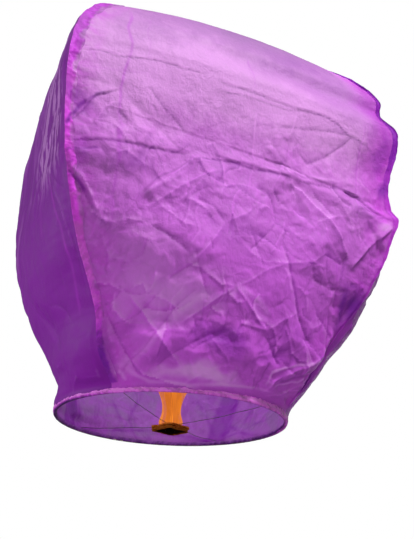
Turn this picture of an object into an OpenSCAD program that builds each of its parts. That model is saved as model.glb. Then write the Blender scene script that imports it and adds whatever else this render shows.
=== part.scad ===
// Paper sky lantern: a four-gore tissue envelope glued to a bamboo mouth hoop,
// with a wax fuel pad hung on two crossed wires.
// Frame: +Z up along the lantern's axis, origin at the centre of the mouth on the
// plane of the hem's underside. The front gore faces -Y, and left is -X.

/* [Mouth hoop] */
// Outer diameter of the bamboo hoop
hoop_d = 378; // [360:1:400]
// Radial thickness of the bamboo strip
hoop_t = 2.4; // [1.8:0.1:3.2]
// Height of the bamboo strip
hoop_h = 5; // [4:0.5:6]
// Angle of the scarf cut where the strip's ends meet
scarf_angle = 8; // [6:1:12]
// Direction of the hoop's scarf joint, from +X
scarf_at = 100; // [95:1:125]

/* [Envelope] */
// Height of the envelope's crown above the mouth
envelope_h = 636; // [600:1:660]
// Height of the widest section
widest_z = 380; // [340:1:400]
// Greatest distance from the axis to the front left seam
reach_front_left = 384; // [340:1:390]
// Greatest distance from the axis to the front right seam
reach_front_right = 360; // [340:1:390]
// Greatest distance from the axis to the back right seam
reach_back_right = 352; // [340:1:390]
// Greatest distance from the axis to the back left seam
reach_back_left = 342; // [335:1:390]
// How far the front right seam has swung round towards the back, in degrees
seam_swing = 9; // [0:1:10]
// How far the crown has drifted towards the front
crown_drift = 32; // [0:1:40]
// Squareness of the shoulder, where 2 is an ellipse
shoulder_n = 3.3; // [2.6:0.1:3.6]
// How far a gore's middle bows out past its seams at the widest section
gore_bow = 32; // [24:1:46]
// How far the seams sag below the gore's middle at the shoulder
seam_droop = 12; // [4:1:20]
// Paper thickness in the model
paper_t = 0.1; // [0.08:0.01:0.2]

/* [Seams and hem] */
// Width of the glued seam strips
seam_w = 14; // [10:1:18]
// Height of the hem's outer fold
hem_outer_h = 8; // [7:0.5:8]
// Height of the hem's inner fold
hem_inner_h = 6.8; // [6.5:0.1:7.2]
// Radius of the crown patch
patch_r = 34; // [28:1:40]

/* [Burner] */
// Radius of the cross wires
wire_r = 0.45; // [0.35:0.05:0.5]
// Height of the wires' crossing, below the hem's underside when slack
crossing_z = -7; // [-9:0.5:-6]
// Side of the square fuel pad
pad_w = 50; // [44:1:56]
// Thickness of one sheet of the fuel pad
sheet_t = 1.6; // [1.4:0.1:1.8]
// Turn of the fuel pad about the vertical
pad_turn = 24; // [0:1:30]
// Spacing of the two prongs that hold the pad
prong_span = 17; // [14:1:20]

/* [Hidden] */
$fn = 48;
ring_fn = 180;
patch_fn = 96;
bend_fn = 48;
hole_fn = 32;
wire_fn = 24;

PAPER = [0.68, 0.28, 0.76];
PAPER_DOUBLE = [0.72, 0.22, 0.78];
BAMBOO = [0.76, 0.63, 0.38];
THREAD = [0.86, 0.82, 0.72];
WIRE = [0.42, 0.40, 0.42];
WAX = [0.55, 0.30, 0.12];

// ---- radii and heights at the mouth ----------------------------------------------
thread_room = 0.6;          // for the binding thread inside the strip
hook_room = 1.5;            // for the wires' hooks outside the strip
hem_gap = 0.1;              // between the hem and the gores
hoop_lift = 0.4;            // from the hem's fold up to the hoop
hoop_ro = hoop_d / 2;
hoop_ri = hoop_ro - hoop_t;
hoop_mid_r = (hoop_ro + hoop_ri) / 2;
hoop_z0 = paper_t + hoop_lift;
gore_r = hoop_ro + hook_room + paper_t;     // the gores' outer skin at the collar
gore_z0 = paper_t + hem_gap;                // the gores' lower edge
hem_ro = gore_r + hem_gap + paper_t;
hem_ri = hoop_ri - thread_room - paper_t;

// ---- shared helpers --------------------------------------------------------------
function mix(from, to, share) = from + (to - from) * share;
function ease(share) = share * share * (3 - 2 * share);
function unit(v) = v / norm(v);
// Two triangles that share the diagonal from p0 to p2
function quad(p0, p1, p2, p3) = [[p0, p1, p2], [p0, p2, p3]];

// ---- rows of the envelope --------------------------------------------------------
collar_z = 12;              // the paper stands straight up to here, then flares
tip_r = 12;                 // the gores' tips stop near this radius, under the patch
flare_rows = 12;
crown_rows = 18;
flare_power = 1.1;          // shapes the seams' flare from the collar to the widest section
crown_round_power = 4;      // how late the gores round off towards the crown

// The four seams are numbered from the front left one, anticlockwise from above.
// Gore n lies between seams n and n + 1, so gore 0 is the front one.
reaches = [reach_front_left, reach_front_right, reach_back_right, reach_back_left];
mean_reach = (reaches[0] + reaches[1] + reaches[2] + reaches[3]) / 4;
function seam_angle(seam_no) = 225 + 90 * seam_no + (seam_no % 4 == 1 ? seam_swing : 0);

// Each row is [flare from 0 to 1, share of the reach, height,
//              place from the widest section (0) to the crown (1), lift at mid gore]
function flare_of(row) = row[0];
function share_of(row) = row[1];
function height_of(row) = row[2];
function crown_of(row) = row[3];
function lift_of(row) = row[4];

function flare_row(flare) = [flare, 1, mix(collar_z, widest_z, flare), 0, 0];
// The shoulder is a superellipse, taken by its angle from the widest section
function crown_row(angle) =
    [1,
     pow(cos(angle), 2 / shoulder_n),
     mix(widest_z, envelope_h, pow(sin(angle), 2 / shoulder_n)),
     angle / 90,
     seam_droop * sin(2 * angle)];
tip_angle = acos(pow(tip_r / mean_reach, shoulder_n / 2));
rows = concat(
    [[0, 1, gore_z0, 0, 0]],
    [for (i = [0:flare_rows]) flare_row(i / flare_rows)],
    [for (i = [1:crown_rows]) crown_row(tip_angle * i / crown_rows)]);

// ---- surface of a gore -----------------------------------------------------------
edge_gap = 1;               // each gore stops this far short of its seam line,
max_gap_share = 0.2;        // or at this share of the width at hand if that is less
max_strip_share = 0.45;     // most of half a gore that a seam strip's column may take
mid_cols = 14;              // even columns between the two strips' columns

// A seam's point in plan on a row, before the crown's drift
function seam_xy(seam_no, row) =
    let (angle = seam_angle(seam_no),
         flare = pow(sin(90 * flare_of(row)), flare_power))
    mix(gore_r, reaches[seam_no % 4], flare) * share_of(row) * [cos(angle), sin(angle)];

function edge_inset(width) = min(edge_gap, max_gap_share * width);
function half_span(gore_no) = (seam_angle(gore_no + 1) - seam_angle(gore_no)) / 2;

// How far a gore's middle stands out from the chord between its seams
function bow(gore_no, row, half_width) =
    let (angle = half_span(gore_no),
         round_bow = half_width * tan(angle / 2),
         shoulder_bow = half_width / sin(angle) * gore_bow / mean_reach)
    crown_of(row) > 0
        ? mix(shoulder_bow, round_bow, pow(crown_of(row), crown_round_power))
        : mix(round_bow, gore_bow, ease(flare_of(row)));

// A point of a gore: across runs from -1 at its left edge to 1 at its right edge,
// as seen from outside.
function gore_point(gore_no, row, across) =
    let (left = seam_xy(gore_no, row),
         right = seam_xy(gore_no + 1, row),
         half_chord = (right - left) / 2,
         half_width = norm(half_chord),
         outward = [half_chord[1], -half_chord[0]] / half_width,
         place = across * (1 - edge_inset(half_width) / half_width),
         angle = half_span(gore_no),
         arc = (sqrt(1 - pow(place * sin(angle), 2)) - cos(angle)) / (1 - cos(angle)),
         plan = (left + right) / 2 + half_chord * place
             + outward * bow(gore_no, row, half_width) * arc,
         drift = crown_drift * max(height_of(row) - collar_z, 0) / (envelope_h - collar_z))
    [plan[0], plan[1] - drift, height_of(row) + lift_of(row) * (1 - across * across)];

// Columns of a row: one as wide as the strip along each seam, and even ones between
function columns(gore_no, row) =
    let (half_width = norm(seam_xy(gore_no + 1, row) - seam_xy(gore_no, row)) / 2,
         inner = 1 - min(seam_w / half_width, max_strip_share))
    concat([-1], [for (i = [0:mid_cols]) mix(-inner, inner, i / mid_cols)], [1]);

function gore_grid(gore_no) =
    [for (row = rows) [for (across = columns(gore_no, row)) gore_point(gore_no, row, across)]];

// A grid point moved outwards, square to the surface
function lifted(grid, i, j, distance) =
    let (last_i = len(grid) - 1,
         last_j = len(grid[0]) - 1,
         up = grid[min(i + 1, last_i)][j] - grid[max(i - 1, 0)][j],
         across = grid[i][min(j + 1, last_j)] - grid[i][max(j - 1, 0)])
    grid[i][j] + distance * unit(cross(across, up));

// A closed thin sheet between two skins of the same layout
module sheet(outer, inner) {
    last_i = len(outer) - 1;
    last_j = len(outer[0]) - 1;
    skin_size = len(outer) * len(outer[0]);
    function out(i, j) = i * (last_j + 1) + j;
    function in(i, j) = skin_size + out(i, j);
    points = [for (skin = [outer, inner]) for (line = skin) each line];
    skins = [for (i = [0:last_i - 1]) for (j = [0:last_j - 1]) each concat(
        quad(out(i, j), out(i + 1, j), out(i + 1, j + 1), out(i, j + 1)),
        quad(in(i, j), in(i, j + 1), in(i + 1, j + 1), in(i + 1, j)))];
    ends = [for (j = [0:last_j - 1]) each concat(
        quad(out(0, j), out(0, j + 1), in(0, j + 1), in(0, j)),
        quad(out(last_i, j), in(last_i, j), in(last_i, j + 1), out(last_i, j + 1)))];
    sides = [for (i = [0:last_i - 1]) each concat(
        quad(out(i, 0), in(i, 0), in(i + 1, 0), out(i + 1, 0)),
        quad(out(i, last_j), out(i + 1, last_j), in(i + 1, last_j), in(i, last_j)))];
    polyhedron(points = points, faces = concat(skins, ends, sides), convexity = 6);
}

// One gore of tissue, from the collar to its tip under the patch
module gore(gore_no) {
    grid = gore_grid(gore_no);
    inner = [for (i = [0:len(grid) - 1])
        [for (j = [0:len(grid[0]) - 1]) lifted(grid, i, j, -paper_t)]];
    color(PAPER) sheet(grid, inner);
}

module gore_front() { gore(0); }
module gore_right() { gore(1); }
module gore_back() { gore(2); }
module gore_left() { gore(3); }

// ---- seam strips and crown patch -------------------------------------------------
LEFT = -1;
RIGHT = 1;
seam_gap = 0.1;             // the glue line under a seam strip
strip_overreach = 1.5;      // how far a strip passes the gore's edge, in edge insets
patch_lift = 1;             // extra height of the patch over the crown

// One skin of a strip, from the grid's second row up
function strip_skin(grid, side, distance) =
    let (edge_col = side == LEFT ? 0 : len(grid[0]) - 1)
    [for (i = [1:len(grid) - 1])
        let (gore_edge = lifted(grid, i, edge_col, distance),
             inboard = lifted(grid, i, edge_col - side, distance),
             width = gore_edge - inboard,
             edge = gore_edge + unit(width) * edge_inset(norm(width)) * strip_overreach)
        side == LEFT ? [edge, inboard] : [inboard, edge]];

// A glued strip along a gore's left or right edge, reaching past it to close the corner
module seam_strip(gore_no, side) {
    grid = gore_grid(gore_no);
    color(PAPER_DOUBLE)
    sheet(strip_skin(grid, side, seam_gap + paper_t), strip_skin(grid, side, seam_gap));
}

module seam_front_left() { seam_strip(0, LEFT); }
module seam_front_right() { seam_strip(0, RIGHT); }
module seam_back_right() { seam_strip(2, LEFT); }
module seam_back_left() { seam_strip(2, RIGHT); }

// Round patch that closes the tips at the top
module crown_patch() {
    color(PAPER_DOUBLE)
    translate([0, -crown_drift, envelope_h + seam_gap + paper_t + patch_lift])
        cylinder(r = patch_r, h = paper_t, $fn = patch_fn);
}

// ---- hem and hoop ----------------------------------------------------------------
scarf_gap = 0.25;           // width of the scarf cut
scarf_cut_length = 60;      // long enough to pass right through the strip
thread_w = 0.7;
thread_t = 0.2;
thread_play = 0.3;          // a turn's opening over the strip's section, both ways
lashing_offset = 2;         // degrees from the scarf's middle to each lashing
lashing_turns = 6;
turn_pitch = 0.27;          // degrees between turns of thread

// Paper band folded round the hoop: up the outside, under it and up the inside
module mouth_hem() {
    color(PAPER_DOUBLE)
    rotate_extrude($fn = ring_fn) {
        translate([hem_ri, 0]) square([hem_ro - hem_ri, paper_t]);
        translate([hem_ro - paper_t, 0]) square([paper_t, hem_outer_h]);
        translate([hem_ri, 0]) square([paper_t, hem_inner_h]);
    }
}

// Split bamboo strip bent into a ring, with a long slanting scarf joint
module hoop() {
    color(BAMBOO)
    translate([0, 0, hoop_z0])
    difference() {
        rotate_extrude($fn = ring_fn)
            translate([hoop_ri, 0]) square([hoop_t, hoop_h]);
        rotate([0, 0, scarf_at])
            translate([hoop_mid_r, 0, hoop_h / 2])
                rotate([0, 0, -scarf_angle])
                    cube([scarf_gap, scarf_cut_length, hoop_h + 2], center = true);
    }
}

// One turn of thread round the strip
module thread_turn() {
    opening = [hoop_t + thread_play, hoop_h + thread_play];
    translate([0, thread_w / 2, 0]) rotate([90, 0, 0])
    linear_extrude(thread_w)
    difference() {
        square(opening + 2 * thread_t * [1, 1], center = true);
        square(opening, center = true);
    }
}

// Two lashings of thread, one over each end of the scarf
module hoop_binding() {
    color(THREAD)
    for (side = [-1, 1]) for (i = [0:lashing_turns - 1])
        rotate([0, 0, scarf_at + side * lashing_offset
                      + (i - (lashing_turns - 1) / 2) * turn_pitch])
            translate([hoop_mid_r, 0, hoop_z0 + hoop_h / 2])
                thread_turn();
}

// ---- cross wires -----------------------------------------------------------------
wire_a_angle = -135;
wire_b_angle = -55;
wire_offset = wire_r + 0.05;        // wire a passes this far over the crossing, b under it
hook_rad = 2;                       // bend of the hook over the hoop
hook_end_z = 2;
hook_in = hem_ri - 3.2;             // the sagging arm ends here
hook_out = hoop_ro + wire_r + 0.1;
hem_clearance = 0.15;
// Height of a wire's centre over the hoop, clear of the hem's inner fold
hook_z = max(hoop_z0 + hoop_h + hook_rad, hem_inner_h + wire_r + hem_clearance);
arm_steps = 14;
hook_steps = 6;
tube_sides = 10;

function sag_z(share) = mix(crossing_z, hook_z, 0.35 * share + 0.65 * pow(share, 2.2));

// From the crossing out to the hook's tip, as [distance, height]
function half_wire(lift) = concat(
    [for (i = [0:arm_steps])
        let (share = i / arm_steps)
        [hook_in * share, sag_z(share) + lift * pow(1 - share, 3)]],
    [for (i = [0:hook_steps])
        let (angle = 90 - 90 * i / hook_steps)
        [hook_out, hook_z] + hook_rad * [cos(angle) - 1, sin(angle) - 1]],
    [[hook_out, hook_end_z]]);
function whole_wire(lift) =
    let (half = half_wire(lift))
    concat([for (i = [len(half) - 1:-1:1]) [-half[i][0], 0, half[i][1]]],
           [for (point = half) [point[0], 0, point[1]]]);

// A tube of even radius along a path that lies in the XZ plane
module tube(path, radius) {
    last = len(path) - 1;
    end = last * tube_sides;
    function at(i, k) = i * tube_sides + k % tube_sides;
    points = [for (i = [0:last])
        let (along = unit(path[min(i + 1, last)] - path[max(i - 1, 0)]),
             side = [0, 1, 0],
             up = cross(along, side))
        for (k = [0:tube_sides - 1])
            let (angle = 360 * k / tube_sides)
            path[i] + radius * (cos(angle) * side + sin(angle) * up)];
    wall = [for (i = [0:last - 1]) for (k = [0:tube_sides - 1])
        each quad(at(i, k), at(i, k + 1), at(i + 1, k + 1), at(i + 1, k))];
    caps = [for (k = [1:tube_sides - 2])
        each [[0, k + 1, k], [end, end + k, end + k + 1]]];
    polyhedron(points = points, faces = concat(wall, caps), convexity = 6);
}

module cross_wire(angle, lift) {
    color(WIRE) rotate([0, 0, angle]) tube(whole_wire(lift), wire_r);
}

module cross_wire_a() { cross_wire(wire_a_angle, wire_offset); }
module cross_wire_b() { cross_wire(wire_b_angle, -wire_offset); }

// ---- crossing tie and prongs -----------------------------------------------------
tie_r = 0.25;               // radius of the tie's wire
tie_ring = 1.5;             // radius of its loops
prong_r = 0.45;
prong_gap = 0.1;            // between the tie and the staple's bridge
prong_past = 0.3;           // how far the legs stick out under the pad
bend_r = 2;
sheet_count = 5;
sheet_gap = 0.1;
sheet_pitch = sheet_t + sheet_gap;
pad_gap = 0.3;              // between the lower wire and the pad, less the wires' own gap
pad_top = crossing_z - 2 * wire_r - pad_gap;
pad_bottom = pad_top - sheet_count * sheet_pitch + sheet_gap;
prong_top = crossing_z + tie_ring + tie_r + prong_r + prong_gap;
prong_end = pad_bottom - prong_past;
bend_x = prong_span / 2 - bend_r;
bend_z = prong_top - bend_r;

// Fine wire tied both ways round the crossing
module crossing_tie() {
    color(WIRE)
    translate([0, 0, crossing_z])
    for (turn = [0, 90])
        rotate([0, 0, turn]) rotate([90, 0, 0])
            rotate_extrude($fn = bend_fn)
                translate([tie_ring, 0]) circle(r = tie_r, $fn = wire_fn);
}

// U-shaped staple over the crossing, with its legs down through the pad
module pad_prongs() {
    color(WIRE) {
        for (side = [-1, 1]) {
            translate([side * prong_span / 2, 0, prong_end])
                cylinder(r = prong_r, h = bend_z - prong_end, $fn = wire_fn);
            translate([side * bend_x, 0, bend_z])
                rotate([90, 0, 0])
                    rotate_extrude(angle = 90, start = side > 0 ? 0 : 90, $fn = bend_fn)
                        translate([bend_r, 0]) circle(r = prong_r, $fn = wire_fn);
        }
        translate([-bend_x, 0, prong_top])
            rotate([0, 90, 0]) cylinder(r = prong_r, h = 2 * bend_x, $fn = wire_fn);
    }
}

// ---- fuel pad --------------------------------------------------------------------
centre_hole_r = 3;
prong_hole_r = prong_r + 0.08;
size_spread = 0.9;          // most that a sheet's half side differs from the pad's
turn_spread = 2;            // most that a sheet is turned from the pad, in degrees
corner_reach = 1.24;        // cut-off corners, as a share of the half side
outline_step = 6;           // degrees between points of the outline
// Waves in the ragged edge: [depth, waves in a full turn, phase step from sheet to sheet]
edge_waves = [[0.7, 3, 97], [0.45, 7, 41], [0.3, 13, 151]];

// Radius of sheet i's outline: a square with its corners cut and its edge ragged
function ragged(i, angle) =
    let (half_side = pad_w / 2 + size_spread * sin(73 * i),
         square_r = half_side / max(abs(cos(angle)), abs(sin(angle))),
         waves = [for (wave = edge_waves) wave[0] * sin(wave[1] * angle + wave[2] * i)])
    min(square_r, half_side * corner_reach) + waves[0] + waves[1] + waves[2];

// One sheet of waxed paper, numbered from 1 at the top and lighter further down
module fuel_sheet(i) {
    color(WAX * (0.82 + 0.07 * i))
    translate([0, 0, pad_top - i * sheet_pitch + sheet_gap])
    difference() {
        rotate([0, 0, pad_turn + turn_spread * sin(113 * i)])
            linear_extrude(sheet_t)
                polygon([for (angle = [0:outline_step:360 - outline_step])
                    ragged(i, angle) * [cos(angle), sin(angle)]]);
        translate([0, 0, -1]) cylinder(r = centre_hole_r, h = sheet_t + 2, $fn = hole_fn);
        for (side = [-1, 1]) translate([side * prong_span / 2, 0, -1])
            cylinder(r = prong_hole_r, h = sheet_t + 2, $fn = wire_fn);
    }
}

gore_front();
gore_right();
gore_back();
gore_left();
seam_front_left();
seam_front_right();
seam_back_right();
seam_back_left();
crown_patch();
mouth_hem();
hoop();
hoop_binding();
cross_wire_a();
cross_wire_b();
crossing_tie();
pad_prongs();
fuel_sheet(1);  // fuel_sheet_1
fuel_sheet(2);  // fuel_sheet_2
fuel_sheet(3);  // fuel_sheet_3
fuel_sheet(4);  // fuel_sheet_4
fuel_sheet(5);  // fuel_sheet_5
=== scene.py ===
import math

import bpy
import numpy as np
from mathutils import Matrix, Vector
from mathutils.geometry import delaunay_2d_cdt


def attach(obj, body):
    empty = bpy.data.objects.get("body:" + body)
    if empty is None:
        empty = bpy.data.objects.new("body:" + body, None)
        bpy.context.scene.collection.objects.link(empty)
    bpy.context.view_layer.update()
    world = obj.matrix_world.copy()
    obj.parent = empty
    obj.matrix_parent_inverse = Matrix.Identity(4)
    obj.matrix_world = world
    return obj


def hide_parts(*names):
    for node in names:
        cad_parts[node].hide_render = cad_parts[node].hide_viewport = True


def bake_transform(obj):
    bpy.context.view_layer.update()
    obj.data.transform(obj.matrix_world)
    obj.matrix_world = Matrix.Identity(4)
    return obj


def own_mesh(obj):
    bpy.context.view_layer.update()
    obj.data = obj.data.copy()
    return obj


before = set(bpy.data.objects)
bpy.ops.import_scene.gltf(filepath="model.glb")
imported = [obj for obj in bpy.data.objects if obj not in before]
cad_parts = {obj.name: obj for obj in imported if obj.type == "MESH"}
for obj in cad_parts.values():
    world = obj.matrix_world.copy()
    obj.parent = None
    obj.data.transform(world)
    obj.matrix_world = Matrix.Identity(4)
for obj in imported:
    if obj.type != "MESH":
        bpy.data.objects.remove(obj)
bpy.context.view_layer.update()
scene = bpy.context.scene

# ---- envelope sizes ---------------------------------------------------------------
# Rows of the envelope are places "up": -1 to 0 in the collar, 0 to 1 up the flare,
# 1 to 2 over the crown. Places "across" a gore run from -1 at its left seam to 1 at its right.
FRONT, RIGHT, BACK, LEFT = range(4)
HOOP_R = 0.1908          # radius of the gores at the hoop
COLLAR_BOTTOM = 0.004
COLLAR_TOP = 0.012       # the paper stands straight up to here
CROWN_Z = 0.6376
SEAM_TIP_R = 0.012       # radius at which the seams end on the crown
LEAN = np.array((0.0075, -0.0509))      # sideways shift per metre of height
CROWN_XY = LEAN * (CROWN_Z - COLLAR_TOP)
SEAMS = [   # reach, widest height, shoulder power, flare power, angle at hoop, angle above
    (0.3885, 0.4024, 3.263, 1.035, 222.23, 222.15),
    (0.3586, 0.3434, 3.274, 1.143, 324.82, 324.20),
    (0.3506, 0.3877, 3.400, 1.055, 405.08, 404.64),
    (0.3402, 0.4021, 3.449, 1.275, 495.45, 495.49),
]
SEAM_Z = [0, 0.012, 0.05, 0.12, 0.2, 0.3, 0.4, 0.5, 0.6]
SEAM_SHIFT = [   # outward shift of each seam at the heights SEAM_Z
    [0, 0, 0.0169, -0.0094, -0.0023, -0.0022, 0.0016, 0.0076, 0],
    [0, 0, 0.0021, -0.0083, 0.0004, 0.0021, -0.0089, 0.0039, 0],
    [0] * 9,
    [0, 0, -0.0055, -0.0063, -0.0032, 0.001, -0.001, 0.0013, 0],
]
NOTCH_UP = [0.0, 0.80, 0.87, 0.94, 1.003, 1.08, 1.175, 1.276, 1.36, 1.45, 2.0]
NOTCH_SHIFT = [0.0, 0.0, 0.002, 0.0065, -0.004, 0.003, 0.0085, -0.0105, 0.002, 0.0, 0.0]
BOW = [0.0194, 0.0375, 0.046, 0.0052]      # how far each gore stands out past its seams
DROOP = [0.002, 0.012, 0.012, 0.0113]      # how far the middle of each gore rises over the crown
BOW_Z = [0, 0.012, 0.05, 0.15, 0.3, 0.45, 0.6]
BOW_SHIFT = [    # added to the bow at the heights BOW_Z
    [0] * 7,
    [0, 0, -0.0055, 0.0056, 0.0, 0.0, 0],
    [0] * 7,
    [0, 0, -0.0174, -0.0105, -0.0006, -0.0045, 0],
]
ROWS, COLS = 352, 268    # grid of each gore
MAP_STEP = 0.0015        # spacing of the flat map that a gore's relief is worked out on

# ---- folds, dye, and painted light and shade: points are (across, up) ---------------
CREASES = {   # kind, height mm, width mm, points
    FRONT: [
        ("pleat", 2.2, 30, [(-0.99, 0.82), (-0.89, 0.84), (-0.76, 0.86), (-0.66, 0.87),
                            (-0.55, 0.875), (-0.41, 0.89), (-0.31, 0.905)]),
        ("pleat", 1.8, 22, [(-0.31, 0.9), (-0.22, 0.91), (-0.1, 0.925), (0.03, 0.93),
                            (0.16, 0.94), (0.28, 0.95)]),
        ("pleat", 1.6, 20, [(-0.23, 0.955), (-0.16, 0.935), (-0.08, 0.93), (0.03, 0.945),
                            (0.19, 0.945), (0.35, 0.955), (0.52, 0.985), (0.69, 1.0)]),
        ("pleat", 4.0, 30, [(0.65, 1.0), (0.76, 0.995), (0.84, 0.97), (0.93, 0.96)]),
        ("ridge", 2.4, 7, [(0.23, 0.93), (0.36, 0.9), (0.47, 0.85), (0.56, 0.815),
                           (0.63, 0.765), (0.73, 0.68), (0.81, 0.645)]),
        ("ridge", 1.8, 6, [(0.31, 1.111), (0.3, 1.06), (0.27, 1.015), (0.23, 0.97),
                           (0.17, 0.885), (0.15, 0.83)]),
        ("ridge", 0.9, 4, [(0.07, 1.08), (0.07, 1.02), (0.06, 0.97), (0.03, 0.885), (0.01, 0.775)]),
        ("ridge", 0.7, 3, [(0.75, 1.161), (0.78, 1.035), (0.74, 0.97), (0.75, 0.82)]),
        ("pleat", 1.0, 14, [(-0.97, 1.101), (-0.84, 1.121), (-0.75, 1.116), (-0.63, 1.131),
                            (-0.52, 1.141), (-0.4, 1.136), (-0.24, 1.141)]),
        ("pleat", 1.1, 14, [(-0.24, 1.136), (-0.12, 1.126), (0.03, 1.131), (0.13, 1.126),
                            (0.28, 1.126), (0.49, 1.141), (0.58, 1.131), (0.67, 1.106),
                            (0.79, 1.101), (0.91, 1.075)]),
        ("pleat", 0.7, 8, [(-0.23, 1.095), (-0.04, 1.106), (0.1, 1.111), (0.25, 1.111),
                           (0.41, 1.141), (0.55, 1.131)]),
        ("valley", 0.8, 4, [(0.19, 1.05), (0.34, 1.07), (0.53, 1.095), (0.67, 1.106)]),
        ("valley", 1.5, 6, [(0.34, 1.025), (0.43, 1.01), (0.54, 1.03), (0.65, 1.075), (0.7, 1.116)]),
        ("pleat", 2.6, 16, [(-1.0, 0.88), (-0.94, 0.925), (-0.88, 0.985), (-0.84, 1.005),
                            (-0.79, 1.01), (-0.71, 1.025)]),
        ("ridge", 3.2, 11, [(-0.62, 0.66), (-0.53, 0.72), (-0.44, 0.77), (-0.36, 0.835),
                            (-0.3, 0.89), (-0.22, 0.915)]),
        ("ridge", 2.2, 9, [(-0.63, 0.605), (-0.51, 0.665), (-0.4, 0.735), (-0.27, 0.81),
                           (-0.14, 0.88)]),
        ("valley", 1.0, 5, [(-0.72, 0.995), (-0.69, 0.98), (-0.64, 0.955)]),
        ("valley", 0.9, 4, [(-0.56, 1.05), (-0.49, 1.02), (-0.4, 1.005), (-0.33, 0.99)]),
        ("ridge", 2.0, 8, [(-1.0, 0.745), (-0.93, 0.7), (-0.89, 0.64), (-0.86, 0.56)]),
        ("valley", 2.0, 7, [(-1.0, 0.73), (-0.96, 0.685), (-0.92, 0.625), (-0.88, 0.56)]),
        ("ridge", 2.0, 6, [(-0.03, 0.385), (-0.15, 0.335), (-0.29, 0.27), (-0.44, 0.21)]),
        ("ridge", 1.8, 5, [(-0.03, 0.385), (0.08, 0.33), (0.22, 0.27), (0.31, 0.24)]),
        ("ridge", 1.2, 4, [(-0.03, 0.385), (-0.15, 0.38), (-0.29, 0.425), (-0.39, 0.435)]),
        ("ridge", 1.0, 4, [(-0.03, 0.385), (0.07, 0.425), (0.19, 0.495), (0.32, 0.545)]),
        ("valley", 2.2, 7, [(0.28, 0.25), (0.36, 0.2), (0.53, 0.125)]),
        ("ridge", 1.2, 4, [(0.28, 0.25), (0.15, 0.25), (0.02, 0.255)]),
        ("ridge", 1.2, 4, [(0.28, 0.25), (0.4, 0.32), (0.52, 0.365)]),
        ("valley", 2.8, 8, [(0.25, 0.655), (0.32, 0.54), (0.42, 0.44), (0.53, 0.35),
                            (0.68, 0.29), (0.81, 0.265)]),
        ("ridge", 1.0, 4, [(-0.04, 0.58), (0.05, 0.535), (0.16, 0.515), (0.32, 0.545),
                           (0.48, 0.585), (0.61, 0.695)]),
        ("valley", 1.2, 5, [(0.48, 0.585), (0.56, 0.52), (0.72, 0.51), (0.87, 0.54)]),
        ("ridge", 4.2, 9, [(1.0, 0.92), (0.92, 0.83), (0.86, 0.76), (0.82, 0.69), (0.79, 0.62)]),
        ("valley", 3.0, 9, [(0.72, 0.7), (0.76, 0.57), (0.79, 0.5), (0.87, 0.425)]),
        ("ridge", 4.2, 10, [(0.49, 0.005), (0.53, 0.075), (0.65, 0.12), (0.78, 0.175),
                            (0.91, 0.265), (0.93, 0.35), (0.87, 0.41)]),
        ("ridge", 2.0, 6, [(0.52, 0.0), (0.77, 0.045), (0.87, 0.105), (0.97, 0.145)]),
        ("valley", 5.0, 12, [(0.87, 0.135), (0.98, 0.195), (1.0, 0.25)]),
        ("valley", 2.4, 8, [(0.37, 0.01), (0.4, 0.075), (0.41, 0.14)]),
        ("ridge", 1.6, 4, [(-0.79, 0.305), (-0.69, 0.23), (-0.58, 0.155), (-0.47, 0.08),
                           (-0.41, 0.05)]),
        ("valley", 1.4, 5, [(-0.96, 0.255), (-0.9, 0.175), (-0.84, 0.09), (-0.77, 0.02)]),
        ("valley", 3.6, 18, [(-0.98, -0.333), (-0.83, 0.06), (-0.71, 0.1), (-0.61, 0.17),
                             (-0.48, 0.265), (-0.29, 0.365)]),
        ("ridge", 2.4, 8, [(-0.82, 0.075), (-0.73, 0.03), (-0.5, 0.0), (-0.18, -1.0)]),
        ("valley", 3.0, 16, [(-0.68, 0.035), (-0.45, 0.1), (-0.24, 0.17), (0.01, 0.235)]),
        ("ridge", 2.4, 14, [(-0.42, -0.667), (-0.18, 0.05), (0.01, 0.085), (0.21, 0.07)]),
        ("ridge", 1.0, 4, [(-0.58, 0.18), (-0.45, 0.185), (-0.33, 0.185)]),
        ("valley", 1.4, 6, [(-0.52, 0.36), (-0.41, 0.405), (-0.29, 0.455)]),
        ("valley", 1.2, 5, [(-0.58, 0.55), (-0.5, 0.535), (-0.43, 0.505), (-0.35, 0.47)]),
        ("ridge", 1.3, 5, [(-0.93, 0.285), (-0.86, 0.225), (-0.79, 0.195), (-0.68, 0.2)]),
        ("ridge", 1.0, 4, [(-0.86, 0.56), (-0.8, 0.54), (-0.7, 0.565), (-0.6, 0.56)]),
        ("valley", 1.6, 7, [(-0.3, 0.715), (-0.2, 0.69), (-0.13, 0.635)]),
        ("ridge", 1.4, 6, [(-0.13, 0.635), (0.0, 0.7), (0.1, 0.79)]),
        ("ridge", 1.2, 5, [(-0.36, 0.44), (-0.27, 0.495), (-0.2, 0.56), (-0.13, 0.635)]),
    ],
    RIGHT: [
        ("ridge", 3.0, 12, [(-0.95, 0.465), (-0.93, 0.39), (-0.8, 0.32)]),
    ],
    LEFT: [
        ("ridge", 1.4, 7, [(0.58, 0.845), (0.73, 0.73), (0.86, 0.615), (0.92, 0.485), (0.93, 0.41)]),
        ("valley", 1.2, 6, [(0.45, 0.845), (0.14, 0.85), (-0.02, 0.8)]),
        ("ridge", 1.0, 5, [(-0.28, 1.397), (-0.75, 1.422), (0.33, 1.0), (0.35, 0.89)]),
        ("valley", 1.0, 4, [(0.87, 1.01), (0.82, 0.94), (0.75, 0.84)]),
        ("ridge", 1.2, 8, [(0.67, 0.055), (0.51, 0.02), (0.45, -0.667)]),
        ("valley", 1.0, 9, [(0.05, 0.39), (0.1, 0.315), (0.27, 0.25)]),
    ],
}
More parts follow.
